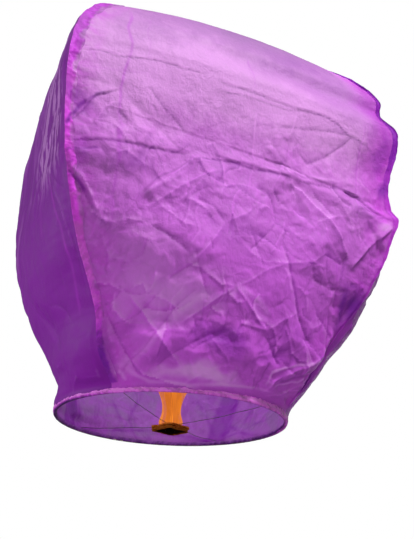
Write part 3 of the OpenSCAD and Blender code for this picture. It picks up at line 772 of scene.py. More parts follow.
class Nodes:
    """Short calls for building the node tree of a material or world."""

    def __init__(self, owner, output="OutputMaterial"):
        self.owner = owner
        owner.use_nodes = True
        self.tree = owner.node_tree
        self.tree.nodes.clear()
        self.output = self.tree.nodes.new("ShaderNode" + output)

    def add(self, kind, sockets=None, output=0, **properties):
        node = self.tree.nodes.new("ShaderNode" + kind)
        for key, value in properties.items():
            setattr(node, key, value)
        for key, value in (sockets or {}).items():
            if isinstance(value, Value):
                self.tree.links.new(value.socket, node.inputs[key])
            else:
                node.inputs[key].default_value = value
        return Value(self, node.outputs[output])

    def math(self, operation, a, b):
        return self.add("Math", {0: a, 1: b}, operation=operation)

    def attribute(self, name):
        return self.add("Attribute", output="Fac", attribute_name=name)

    def mix(self, share, a, b, blend="MIX"):
        return self.add("Mix", {0: share, 6: a, 7: b}, 2, data_type="RGBA", blend_type=blend)

    def ramp(self, share, stops, interpolation="EASE"):
        """Colour ramp through stops of (position, red, green, blue)."""
        out = self.add("ValToRGB", {0: share})
        ramp = out.socket.node.color_ramp
        ramp.interpolation = interpolation
        while len(ramp.elements) > 1:
            ramp.elements.remove(ramp.elements[-1])
        ramp.elements[0].position = stops[0][0]
        ramp.elements[0].color = srgb(*stops[0][1:])
        for position, *rgb in stops[1:]:
            ramp.elements.new(position).color = srgb(*rgb)
        return out

    def place(self, scale=(1, 1, 1)):
        coordinates = self.add("TexCoord", output="Object")
        return self.add("Mapping", {"Vector": coordinates, "Scale": scale})

    def noise(self, place, scale, detail=4, rough=0.55, twist=0.0):
        return self.add("TexNoise", {"Scale": scale, "Detail": detail, "Roughness": rough,
                                     "Distortion": twist, "Vector": place}, "Fac")

    def level(self, value, start, end, low=0.0, high=1.0):
        """Goes from low to high as value goes from start to end."""
        return self.add("MapRange", {"Value": value, "From Min": start, "From Max": end,
                                     "To Min": low, "To Max": high}, clamp=True)

    def bump(self, height, strength, distance):
        return self.add("Bump", {"Height": height, "Strength": strength, "Distance": distance})

    def surface(self, colour, rough, normal, more=None):
        return self.add("BsdfPrincipled", {"Base Color": colour, "Roughness": rough,
                                           "Normal": normal, **(more or {})})

    def mix_shader(self, share, a, b):
        return self.add("MixShader", {0: share, 1: a, 2: b})

    def finish(self, shader):
        self.tree.links.new(shader.socket, self.output.inputs["Surface"])
        return self.owner


def material_nodes(name):
    return Nodes(bpy.data.materials.new(name))


# ---- tissue: colour stops are (share of the crown's height, red, green, blue) ---------------------
DYE = srgb(140, 22, 176)
# painted light: the inside face has its own greyer stops, raised to stand for the light that comes through the
# paper
INSIDE = [(0.0, 182, 98, 204), (0.25, 174, 98, 198), (1.0, 160, 86, 188)]
SEAM_INSIDE = [(0.0, 150, 40, 175), (1.0, 150, 40, 175)]
# painted light and shade by height: palest about two thirds of the way up, darker below it and over the crown
FRONT_STOPS = [(0.0, 206, 88, 222), (0.22, 206, 96, 221), (0.42, 198, 104, 211),
               (0.58, 201, 115, 211), (0.68, 222, 150, 228), (0.82, 214, 150, 220),
               (0.91, 182, 124, 192), (1.0, 160, 112, 172)]


def tissue(name, outside, inside=SEAM_INSIDE, through=0.16, bump=1.0, fold=0.10, mottle=0.10,
           doubled=None, rim=0.0, facet=1.0, pale=srgb(234, 172, 240)):
    """Tissue paper: colour by height, cloudy fibres, creases with worn dye and painted light and shade, and light
    through it.

    through is the share of light let through, bump and facet the strength of all the fine
    relief and of its crinkles, fold the strength of the painted light on crests and painted shade
    in hollows, mottle the strength of clouds in the colour, doubled the colour of doubled paper
    on the inside, rim the dye's strength at the seams, and pale the colour of the painted light
    from the shade attribute.
    and pale the colour where the dye is worn.
    """
    tree = material_nodes(name)
    place = tree.place()
    tone, shade, crest = (tree.attribute(key) for key in ("tone", "shade", "fold"))
    streak = tree.attribute("streak")
    cloud = tree.noise(place, scale=7.0, detail=5, rough=0.6)
    fine = tree.noise(place, scale=46.0, detail=6, rough=0.65, twist=0.3)
    fibre = tree.noise(tree.place((1, 1, 0.45)), scale=420.0, detail=3, rough=0.7)

    # outside colour
    share = (tone + (cloud - 0.5) * (2.2 * mottle) + (fine - 0.5) * (1.6 * mottle)).clamped()
    colour = tree.ramp(share, outside, "LINEAR")
    colour = tree.mix(streak * 0.72, colour, srgb(190, 54, 210))
    if rim or doubled:
        edge = tree.attribute("edge")
    if rim:
        ragged = tree.noise(place, scale=38.0, detail=5, rough=0.6, twist=0.8)
        near = tree.level(edge, 0.010, 0.055, rim, 0.0) * tree.level(ragged, 0.40, 0.60)
        colour = tree.mix(near, colour, srgb(204, 66, 216))
        colour = tree.mix(tree.attribute("blush"), colour, srgb(208, 74, 220))
    # violet of doubled paper and of painted shade in the deepest folds
    colour = tree.mix(tree.attribute("deep") * 0.8, colour, srgb(120, 26, 172))
    colour = tree.mix(tree.attribute("pale") * 0.85, colour,
                      tree.ramp(share, FRONT_STOPS, "LINEAR"))

    # inside colour
    back = tree.ramp((tone + (cloud - 0.5) * 0.5).clamped(), inside, "LINEAR")
    if doubled:
        grey = tree.noise(tree.place((1, 1, 1.6)), scale=11.0, detail=5, rough=0.62, twist=1.2)
        back = tree.mix(tree.level(grey, 0.44, 0.60, 0.0, 0.65), back, srgb(158, 122, 176))
        violet = tree.noise(tree.place((1.4, 1.4, 0.7)), scale=16.0, detail=4, rough=0.6,
                            twist=1.6)
        back = tree.mix(tree.level(violet, 0.52, 0.66, 0.0, 0.5), back, srgb(156, 62, 184))
        back = tree.mix(tree.level(edge, 0.011, 0.016, 0.6, 0.0), back, doubled)
        back = tree.mix((streak * 1.0).clamped(), back, doubled)
    colour = tree.mix(tree.add("NewGeometry", output="Backfacing"), colour, back)

    # painted light and shade from crests, hollows and the shade attribute, with fibre mottle, on both faces
    light = (1.0 + crest * fold + tree.math("MINIMUM", shade * 0.65, shade * 0.4)
             + (fine - 0.5) * 0.24 + (fibre - 0.5) * 0.22)
    grey = tree.add("CombineColor", {"Red": light, "Green": light, "Blue": light})
    colour = tree.mix(1.0, colour, grey, "MULTIPLY")
    # painted light in the shade attribute turns the colour pale, painted shade turns it violet
    colour = tree.mix(tree.level(shade, 0.03, 0.50, 0.0, 0.72), colour, pale)
    colour = tree.mix(tree.level(shade, -0.45, -0.03, 0.55, 0.0), colour, srgb(150, 36, 180))
    # crests of the creases turn a little paler: worn dye and painted highlight
    colour = tree.mix(tree.level(crest, 0.45, 1.0, 0.0, 0.07), colour, srgb(236, 180, 242))

    # fine crinkles from three sizes of bent cells, strongest in patches
    warp = tree.add("TexNoise", {"Vector": place, "Scale": 26.0, "Detail": 3.0}, "Color")
    drift = tree.add("VectorMath", {0: warp, "Scale": 0.035}, operation="SCALE")
    bent = tree.add("VectorMath", {0: place, 1: drift}, operation="ADD")
    large, medium, small = (
        tree.add("TexVoronoi", {"Vector": bent, "Scale": scale}, "Distance", distance=metric)
        for scale, metric in ((46.0, "CHEBYCHEV"), (105.0, "MANHATTAN"), (230.0, "CHEBYCHEV")))
    patches = tree.noise(place, scale=13.0, detail=3, rough=0.5, twist=0.4)
    crinkle = (large * 1.0 + (medium * 0.32 + small * 0.17)) * tree.level(
        patches, 0.38, 0.62, 0.30, 1.0)
    grain = tree.noise(place, scale=170.0, detail=5, rough=0.65, twist=0.8)
    normal = tree.bump(fibre * 0.16 + grain * 0.60 + crinkle * facet,
                       strength=0.75 * bump, distance=0.0018)

    paper = tree.surface(colour, tree.level(fine, 0.3, 0.7, 0.50, 0.68), normal,
                         {"Specular IOR Level": 0.25})
    glow_colour = tree.mix(1.0, colour, srgb(250, 225, 250), "MULTIPLY")
    glow = tree.add("BsdfTranslucent", {"Color": glow_colour, "Normal": normal})
    return tree.finish(tree.mix_shader(through, paper, glow))


M_FRONT = tissue("tissue_front", FRONT_STOPS, INSIDE, doubled=DYE, rim=0.65)
# painted shade: the left gore faces away from the key light, so its stops are darker than the others', paler near
# the top
M_LEFT = tissue("tissue_left",
                [(0.0, 144, 30, 172), (0.5, 142, 28, 170), (0.72, 150, 46, 178),
                 (0.86, 176, 98, 200), (1.0, 186, 114, 207)],
                INSIDE, fold=0.12, mottle=0.08, doubled=DYE, bump=0.5, facet=0.25,
                pale=srgb(214, 150, 226))
# painted light: the right and back gores grow paler towards the top
M_SIDE = tissue("tissue_side",
                [(0.0, 166, 66, 188), (0.35, 176, 78, 196), (0.6, 188, 94, 204),
                 (0.8, 208, 134, 218), (1.0, 220, 158, 226)],
                INSIDE, doubled=DYE, rim=0.4)
M_SEAM = tissue("doubled_tissue_seam",
                [(0.0, 184, 50, 218), (0.07, 158, 32, 210), (0.13, 206, 58, 230),
                 (0.20, 232, 76, 246), (0.32, 252, 108, 255), (0.40, 252, 100, 255),
                 (0.47, 240, 70, 248), (0.62, 222, 92, 228), (0.78, 202, 66, 216),
                 (0.92, 190, 70, 206), (1.0, 196, 96, 210)],
                mottle=0.26, fold=0.34, facet=1.3)
M_FIN = tissue("doubled_tissue_fin",
               [(0.0, 204, 74, 220), (0.34, 206, 70, 222), (0.60, 196, 60, 214),
                (0.70, 146, 24, 186), (1.0, 160, 40, 198)], through=0.2)
# the hem's stops run from its inner edge (0) round the hoop to its outer edge (1), painted dark as shade where it
# turns under the hoop
M_HEM = tissue("doubled_tissue_hem",
               [(0.0, 150, 84, 176), (0.13, 132, 60, 160), (0.19, 84, 24, 116),
                (0.32, 96, 28, 128), (0.44, 206, 70, 224), (0.58, 255, 128, 255),
                (0.8, 255, 150, 255), (1.0, 250, 112, 252)],
               [(0.0, 120, 40, 150), (1.0, 140, 50, 165)], fold=0.3, mottle=0.06)
M_PATCH = tissue("doubled_tissue_patch", [(0.0, 192, 96, 212), (1.0, 216, 140, 228)], through=0.2)

# ---- gores ----------------------------------------------------------------------------------------
# facet heights are for large, medium, small and fine facets
GORES = [
    Gore(FRONT, seed=101, facet_heights=(0.0050, 0.00195, 0.00092, 0.00056), swell=0.003),
    Gore(RIGHT, seed=201, facet_heights=(0.0048, 0.00160, 0.00070, 0.00030), swell=0.004),
    Gore(BACK, seed=301, facet_heights=(0.0048, 0.00160, 0.00070, 0.00030), swell=0.004),
    Gore(LEFT, seed=401, facet_heights=(0.0026, 0.00040, 0.00014, 0.00008), swell=0.004),
]


def build_gore(gore, node, material):
    x, y, across = gore.sheet_x, gore.sheet_y, gore.across
    tone = np.clip(gore.points[..., 2] / CROWN_Z, 0, 1)
    blush = 0
    fold, streak, shade, deep = (gore.sample(image, x, y) for image in
                                 (gore.fold, gore.streak, gore.shade, gore.deep))
    if gore.number == FRONT:
        # painted light and shade: the top's middle is painted palest, and both sides above the middle are painted
        # in shade
        tone = tone + 0.05 * np.exp(-((across - 0.1) / 0.5) ** 2) * step01(tone, 0.6, 0.95)
        tone = tone - 0.13 * step01(across, 0.70, 0.88) * step01(tone, 0.45, 0.7)
        tone = tone - 0.06 * (1 - step01(across, -0.95, -0.72)) * step01(tone, 0.4, 0.7)
        high = step01(tone, 0.35, 0.55) * (1 - step01(tone, 0.86, 0.97))
        blush = 0.62 * step01(across, 0.70, 0.97) * (0.35 + 0.65 * high)
    if gore.number == LEFT:
        # upright pale blotches high up
        blotch = fractal(x * 62 + 2, y * 9, 461) + 0.8 * fractal(x * 190, y * 42, 467)
        zone = (step01(tone, 0.42, 0.62) * (1 - step01(tone, 0.90, 0.99))
                * (1 - step01(across, 0.88, 0.96)) * step01(across, 0.10, 0.42))
        shade = shade + zone * (step01(blotch, 0.04, 0.09) - 0.12 * step01(-blotch, 0.06, 0.16))
        side = step01(tone, 0.25, 0.55) * (1 - step01(across, -0.1, 0.5))
        shade = shade + 0.24 * side * fractal(x * 40, y * 7, 471)
    half_width = np.interp(gore.up, gore.dense, gore.half_width)
    edge = (1 - np.abs(across)) * half_width[:, None]
    attributes = {"blush": blush, "tone": tone, "fold": fold, "edge": edge,
                  "streak": streak, "shade": shade, "deep": deep}
    squash_envelope(add_piece(node, gore.points, quads(ROWS, COLS), material, "tissue",
                              attributes=attributes, uv=grid_uv(ROWS, COLS)))


for gore, node, material in zip(GORES, ("gore_front", "gore_right", "gore_back", "gore_left"),
                                (M_FRONT, M_SIDE, M_SIDE, M_LEFT)):
    build_gore(gore, node, material)

# ---- seam strips ------------------------------------------------------------------------------------
STRIP_START = 5      # first row of the gore that a strip covers
STRIP_COLS = 15
STRIP_SEARCH = 60    # columns of the gore that a strip may reach over
STRIP_LIFT = 0.00035
FIN_COLS = 5


def fin_points(gore, root, normal, fin, along, seed):
    """Grid of a fin that stands out from the seam, widest column first."""
    up = gore.up[STRIP_START:]
    out = root - np.array([*(CROWN_XY * 0.5), 0])
    out[:, 2] = 0
    # over the shoulder the fin stands along the sheet's own outward direction
    over = step01(up, 1.25, 1.6)[:, None]
    out = unit(unit(out) * (1 - over) + normal * over)
    width = curve_through(*fin, up) * (0.75 + 0.35 * noise(along / 0.03, 0, seed + 8)
                                       + 0.12 * noise(along / 0.006, 0, seed + 9))
    width = width * step01(along, 0.0, 0.02) * step01(along[-1] - along, 0.05, 0.10)
    flap = np.cross(out, unit(np.gradient(root, axis=0)))
    share = np.linspace(1, 0, FIN_COLS, endpoint=False)
    bend = 0.0012 * share**2 * noise(along[:, None] / 0.02, share, seed + 10)
    return (root[:, None] + out[:, None] * (width[:, None] * share)[..., None]
            + flap[:, None] * bend[..., None])


def strip(gore, side, node, widths, material, seed, fin=None, puff=0.0009, worn=False):
    """A glued strip on the crumpled sheet along a gore's left (-1) or right (1) edge.

    widths and fin hold rows up and widths there. A fin stands out past the seam.
    A worn strip fades into the front's colour at its free edge.
    """
    points, normal = gore.points[STRIP_START:], normals(gore.points)[STRIP_START:]
    if side > 0:
        points, normal = points[:, ::-1], normal[:, ::-1]
    rows = len(points)
    up = gore.up[STRIP_START:]
    along = arc_length(points[:, 0])
    points, normal = points[:, :STRIP_SEARCH], normal[:, :STRIP_SEARCH]
    spread = arc_length(points)
    width = curve_through(*widths, up) * (
        1 + 0.13 * noise(along / 0.045, 0, seed) + 0.10 * noise(along / 0.016, 0, seed + 1)
        + 0.05 * noise(along / 0.006, 0, seed + 2))
    width = np.minimum(width, 0.8 * spread[:, -1])
    share = np.linspace(0, 1, STRIP_COLS)
    inward, run = width[:, None] * share, along[:, None]
    points, normal = resample(inward, spread, points), resample(inward, spread, normal)
    # short folds across the strip, where it takes up the slack
    waver = 1.1 * noise(inward / 0.008, run / 0.02, seed + 5)
    pleats = np.clip(ridged(inward / 0.016 + 3, run / 0.0075 + waver, seed + 6) + 0.25, 0, 1)
    pleats = pleats * (0.35 + 0.65 * (0.5 + 0.5 * noise(run / 0.05, 0, seed + 7)))
    middle = np.sin(math.pi * np.clip(share, 0.06, 1.0)) ** 0.5
    lift = STRIP_LIFT + puff * pleats * (0.35 + 0.65 * middle)
    points = points + normal * lift[..., None]
    # painted light on the strip's pleats and painted shade between them
    fold = np.clip((pleats - 0.35) * 1.6, -1, 1)
    half_width = np.interp(up, gore.dense, gore.half_width)[:, None]
    flat_x, flat_y = side * (half_width - inward), gore.sheet_y[STRIP_START:, :1] + 0 * inward
    shade, deep = (gore.sample(image, flat_x, flat_y) for image in (gore.shade, gore.deep))
    if fin:
        fins = fin_points(gore, points[:, 0], normal[:, 0], fin, along, seed)
        points = np.concatenate([fins, points], 1)
        fin_fold = 0.3 * noise(run / 0.01, np.arange(FIN_COLS) * 0.3, seed + 12)
        fold = np.concatenate([fin_fold, fold], 1)
        shade, deep = (np.pad(dye, ((0, 0), (FIN_COLS, 0)), mode="edge")
                       for dye in (shade, deep))
    if side > 0:
        points, fold, shade, deep = (grid[:, ::-1] for grid in (points, fold, shade, deep))
    pale = 0
    if worn:
        ragged = (0.34 * noise(run / 0.016, inward / 0.012, seed + 14)
                  + 0.16 * noise(run / 0.005, inward / 0.005, seed + 15))
        pale = step01(share + ragged, 0.55, 1.02)
    cols = points.shape[1]
    attributes = {"tone": np.clip(points[..., 2] / CROWN_Z, 0, 1), "fold": fold, "edge": 1,
                  "pale": pale, "shade": shade, "deep": deep}
    squash_envelope(add_piece(node, points, quads(rows, cols), material, "doubled_tissue",
                              attributes=attributes, uv=grid_uv(rows, cols)))


FRONT_LEFT_WIDTHS = (
    [-1, 0, 0.25, 0.45, 0.62, 0.78, 0.95, 1.2, 1.45, 2.0],
    [0.0125, 0.0125, 0.0115, 0.0125, 0.0175, 0.0145, 0.0185, 0.021, 0.022, 0.016])
FRONT_RIGHT_WIDTHS = ([-1, 0.5, 0.85, 1.0, 2.0], [0.0045, 0.0045, 0.0045, 0.007, 0.007])
FRONT_RIGHT_FIN = ([-1, 0.4, 0.6, 0.85, 0.97, 1.3, 1.6, 2.0],
                   [0.0022, 0.0022, 0.0016, 0.0018, 0.0046, 0.0050, 0.0035, 0.0035])
BACK_WIDTHS = ([-1, 2], [0.014, 0.014])
strip(GORES[FRONT], -1, "seam_front_left", FRONT_LEFT_WIDTHS, M_SEAM, seed=501, puff=0.0022,
      worn=True)
strip(GORES[FRONT], 1, "seam_front_right", FRONT_RIGHT_WIDTHS, M_FIN, seed=521,
      fin=FRONT_RIGHT_FIN)
strip(GORES[BACK], -1, "seam_back_right", BACK_WIDTHS, M_SEAM, seed=541)
strip(GORES[BACK], 1, "seam_back_left", BACK_WIDTHS, M_SEAM, seed=561)


# ---- crown patch --------------------------------------------------------------------------------------
def crown_patch():
    rings, segments, radius = 22, 120, 0.0345
    angle = np.linspace(0, 2 * math.pi, segments, endpoint=False)
    share = np.linspace(0.0006, 1, rings)[:, None]
    r = share * radius * (1 + 0.03 * np.sin(3 * angle + 1) + 0.02 * np.sin(7 * angle)
                          + 0.012 * np.sin(17 * angle + 2))
    x, y = CROWN_XY[0] + r * np.cos(angle), CROWN_XY[1] + r * np.sin(angle)
    crumple = (0.0006 * (ridged(x / 0.009 + 3, y / 0.009, 71) + 0.5)
               + 0.0004 * (ridged(x / 0.004, y / 0.004, 72) + 0.5)
               + 0.0010 * np.maximum(ridged(angle * 14 / (2 * math.pi), 0, 73), 0) * share)
    z = CROWN_Z + 0.0009 + 0.0006 * share**2 + crumple
    verts = np.stack([x, y, z], -1).reshape(-1, 3)
    verts = np.concatenate([verts, [[*CROWN_XY, z[0].mean()]]])
    centre = rings * segments
    faces = [*quads(rings, segments, True),
             *((centre, i, (i + 1) % segments) for i in range(segments))]
    # painted light on the patch's crumple crests and painted shade between them
    tone = np.append(0.6 + 0.4 * crumple / 0.0012, 0.6)
    fold = np.append(np.clip((crumple - 0.0008) / 0.0008, -1, 1), 0)
    add_piece("crown_patch", verts, faces, M_PATCH, "doubled_tissue", rides="crown",
              attributes={"tone": tone, "fold": fold, "edge": 1})


crown_patch()

# ---- hem ------------------------------------------------------------------------------------------------
HEM_COLS = 180                           # columns round each gore
HEM_ROWS = [*np.linspace(-1, 0, 7), 0.002, 0.004, 0.007, 0.010, 0.014]    # rows up that it follows
HEM_INNER_R, HEM_OUTER_R = 0.1858, 0.1916    # of the turn under the hoop
HEM_TURN_Z = 0.0032                      # the turn under the hoop starts here
HEM_SIDE_Z = 0.0036                      # the two sides stand from here


def mouth_hem():
    """Paper wrapped round the hoop: up its inner side, under it and up the outside."""
    across = np.linspace(-1, 1, HEM_COLS, endpoint=False)
    sheets = [gore_surface(g, np.array(HEM_ROWS), across) for g in range(4)]
    surface = np.concatenate(sheets, 1).swapaxes(0, 1)
    normal = np.concatenate([normals(sheet) for sheet in sheets], 1).swapaxes(0, 1)
    angle = np.arctan2(surface[:, 0, 1], surface[:, 0, 0])
    x, y = np.cos(angle), np.sin(angle)

    def ragged(scale, seed):
        return noise(x * scale + 7, y * scale + 3, seed)

    def gathers(share):
        return ridged(x * 26 + 3 * share, y * 26 + 9, 821)

    def crinkles(share):
        return ridged(x * 95, y * 95 + 4 * share, 822)

    # outer side, from its top edge down
    share = np.linspace(1, 0, 8)[:, None]
    from_corner = (angle - math.radians(-51) + math.pi) % (2 * math.pi) - math.pi
    front_right = np.exp(-((from_corner / 0.55) ** 2))
    top = (0.0064 + 0.0014 * ragged(9, 811) + 0.0012 * ragged(34, 812)
           + 0.0008 * ragged(110, 813) + 0.0032 * front_right)
    z = HEM_SIDE_Z + (np.clip(top, 0.0048, 0.0134) - HEM_SIDE_Z) * share
    puff = (0.0008 + 0.0010 * np.clip(0.25 + gathers(share), 0, 1) * (0.3 + 0.7 * share)
            + 0.0005 * np.clip(0.3 + crinkles(share), 0, 1))
    heights = surface[..., 2]
    outer = (resample(z.T, heights, surface)
             + resample(z.T, heights, normal) * puff.T[..., None]).swapaxes(0, 1)

    # turn under the hoop
    share = np.linspace(0, 1, 9)[1:-1, None]
    turn = math.pi * share
    r = (HEM_INNER_R + HEM_OUTER_R) / 2 + (HEM_OUTER_R - HEM_INNER_R) / 2 * np.cos(turn)
    r = r + 0.0003 * noise(x * 40 + 4 * share, y * 40, 823)
    under = polar(r, angle, HEM_TURN_Z - HEM_TURN_Z * np.sin(turn) ** 0.7)

    # inner side, up to its top edge
    share = np.linspace(0, 1, 6)[:, None]
    top = 0.0062 + 0.0006 * ragged(14, 815) + 0.0004 * ragged(60, 816)
    r = (0.1857 - 0.0003 * (0.5 + 0.5 * noise(x * 40 + 3 * share, y * 40, 824))
         - 0.0002 * (0.5 + 0.5 * noise(x * 110, y * 110 + share, 825)))
    inner = polar(r, angle, HEM_SIDE_Z + (top - HEM_SIDE_Z) * share)

    points = np.concatenate([outer, under, inner])[::-1]
    part = np.concatenate([np.linspace(1, 0.64, len(outer)), np.linspace(0.42, 0.22, len(under)),
                           np.linspace(0.16, 0.0, len(inner))])[::-1, None]
    # painted shade: the back left of the hem is darker, and the shade under the hoop is lighter at the front
    back = np.clip(0.5 - 0.5 * np.cos(angle - math.radians(-62)), 0, 1) ** 1.5
    front = step01(np.cos(angle - math.radians(-71)), -0.1, 0.5)
    tone = (part - 0.10 * back * (1 - front) + 0.05 * ragged(30, 827) + 0.03 * ragged(90, 828)
            + 0.16 * ((part > 0.2) & (part < 0.44)) * front)
    # painted light on the gathers' crests and painted shade between them
    fold = np.clip(1.3 * gathers(part) + 0.6 * crinkles(part), -1, 1)
    add_piece("mouth_hem", points, quads(*points.shape[:2], True), M_HEM, "doubled_tissue",
              attributes={"tone": tone, "fold": fold, "edge": 1})


mouth_hem()


# ---- hard materials ---------------------------------------------------------------------------------------
def bamboo():
    tree = material_nodes("bamboo_split")
    grain = tree.noise(tree.place((1, 1, 9)), scale=90.0, detail=6, rough=0.6)
    stain = tree.noise(tree.place(), scale=9.0, detail=3, rough=0.5)
    colour = tree.ramp(grain, [(0.25, 116, 70, 96), (0.5, 150, 100, 110), (0.8, 186, 148, 118)])
    colour = tree.mix(tree.level(stain, 0.35, 0.65, 0.1, 0.7), colour, srgb(96, 44, 104))
    return tree.finish(tree.surface(colour, tree.level(grain, 0.2, 0.8, 0.42, 0.62),
                                    tree.bump(grain, strength=0.5, distance=0.0004)))


def thread():
    tree = material_nodes("cotton_thread")
    place = tree.place()
    twist = tree.add("TexWave", {"Scale": 900.0, "Distortion": 2.0, "Detail": 2.0,
                                 "Vector": place}, "Fac",
                     wave_type="BANDS", bands_direction="DIAGONAL")
    fuzz = tree.noise(place, scale=1500.0, detail=4, rough=0.7)
    colour = tree.mix(twist, srgb(168, 150, 130), srgb(222, 210, 190))
    normal = tree.bump(twist + fuzz, strength=0.6, distance=0.0003)
    return tree.finish(tree.surface(colour, 0.85, normal))


def steel(name, soot):
    tree = material_nodes(name)
    place = tree.place()
    stain = tree.noise(place, scale=60.0, detail=5, rough=0.6)
    grain = tree.noise(place, scale=700.0, detail=3, rough=0.6)
    colour = tree.ramp(stain, [(0.3, 70, 52, 66), (0.55, 118, 100, 112), (0.8, 150, 138, 140)])
    colour = tree.mix(tree.level(stain, 0.35, 0.7, soot, soot * 0.3), colour, srgb(28, 22, 24))
    return tree.finish(tree.surface(colour, tree.level(grain, 0.3, 0.7, 0.38, 0.62),
                                    tree.bump(grain, strength=0.3, distance=0.0001),
                                    {"Metallic": 0.85}))


M_BAMBOO, M_THREAD = bamboo(), thread()
M_WIRE, M_SOOTY = steel("steel_wire", soot=0.3), steel("steel_wire_sooty", soot=0.85)
for node, material in (("hoop", M_BAMBOO), ("hoop_binding", M_THREAD),
                       ("crossing_tie", M_SOOTY), ("pad_prongs", M_SOOTY)):
    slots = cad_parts[node].data.materials
    if not slots:
        slots.append(material)
    for i in range(len(slots)):
        slots[i] = material

# ---- cross wires ----------------------------------------------------------------------------------------------
CROSS_Z = -0.007         # where the wires cross
WIRE_R = 0.00048
HOOK_Z = 0.0075          # top of the hook over the hoop
HOOK_IN, HOOK_OUT = 0.1827, 0.18955
HOOK_R = 0.002           # bend of the hook
WIRE_LIFT = 0.0005       # wire a passes this far above the crossing and wire b as far below


def tube(path, r, sides=10):
    along = unit(np.gradient(path, axis=0))
    plane = unit(np.cross(path[0] - path[-1], [0, 0, 1.0]))
    up = unit(np.cross(along, plane))
    side = np.cross(up, along)
    angle = (np.arange(sides) / sides * 2 * math.pi)[:, None]
    ring = path[:, None] + r * (np.cos(angle) * side[:, None] + np.sin(angle) * up[:, None])
    return ring, capped_tube(len(path), sides)


def wire_arm(name, degrees, lift, seed, node):
    """Half of a cross wire, from the crossing out to its hook over the hoop."""
    angle = math.radians(degrees)
    t = np.linspace(0.0, 1, 64)
    middle = np.sin(math.pi * t)
    y = middle * (0.0011 * noise(t * 6, 0, seed) + 0.0005 * noise(t * 15, 0, seed + 1))
    z = (CROSS_Z + (HOOK_Z - CROSS_Z) * (0.35 * t + 0.65 * t**2.2) + lift * (1 - t) ** 3
         + 0.0009 * middle * noise(t * 7, 0, seed + 2))
    bend = np.linspace(math.pi / 2, 0, 10)
    hook = np.stack([HOOK_OUT - HOOK_R + HOOK_R * np.cos(bend), 0 * bend,
                     HOOK_Z - HOOK_R + HOOK_R * np.sin(bend)], -1)
    tail = [(HOOK_OUT, 0, tail_z) for tail_z in (0.0042, 0.003, 0.0022)]
    path = np.concatenate([np.stack([HOOK_IN * t, y, z], -1), hook, tail])
    ob = add_mesh(name, *tube(turned(path, angle), WIRE_R), M_WIRE)
    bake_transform(ob)
    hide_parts(node)


wire_arm("visual_wire_a_front_left", 225, WIRE_LIFT, 31, "cross_wire_a")
wire_arm("visual_wire_a_back_right", 45, WIRE_LIFT, 33, "cross_wire_a")
wire_arm("visual_wire_b_front_right", 305, -WIRE_LIFT, 35, "cross_wire_b")
wire_arm("visual_wire_b_back_left", 125, -WIRE_LIFT, 37, "cross_wire_b")

# ---- fuel pad ---------------------------------------------------------------------------------------------------
PAD_TOP = -0.0082
PAD_HALF = 0.0228
SHEET_THICK, SHEET_GAP = 0.0016, 0.0001
PAD_HOLES = [(0.0, 0.003, 24), (-0.0085, 0.0006, 14), (0.0085, 0.0006, 14)]   # x, radius, points


def wax(i):
    tree = material_nodes("waxed_paper_%d" % i)
    place = tree.place()
    char = tree.noise(place, scale=70.0, detail=6, rough=0.65, twist=0.5)
    grain = tree.noise(place, scale=300.0, detail=4, rough=0.7)
    burn = (tree.attribute("rim") - 0.5) + (char - 0.5) * 1.5
    colour = tree.ramp((burn + 0.5).clamped(), [
        (0.0, 10, 5, 3), (0.45, 40, 16, 6), (0.62, 110, 48, 14), (0.80, 190, 92, 28),
        (1.0, 228, 134, 50)])
    colour = tree.mix(0.12 * i, colour, srgb(16, 9, 7))      # lower sheets are darker
    colour = tree.mix(tree.level(grain, 0.55, 0.75, 0.0, 0.35), colour, srgb(30, 16, 12))
    normal = tree.bump(char + grain * 0.5, strength=0.9, distance=0.0014)
    return tree.finish(tree.surface(colour, tree.level(grain, 0.3, 0.7, 0.7, 0.95), normal,
                                    {"Specular IOR Level": 0.0}))


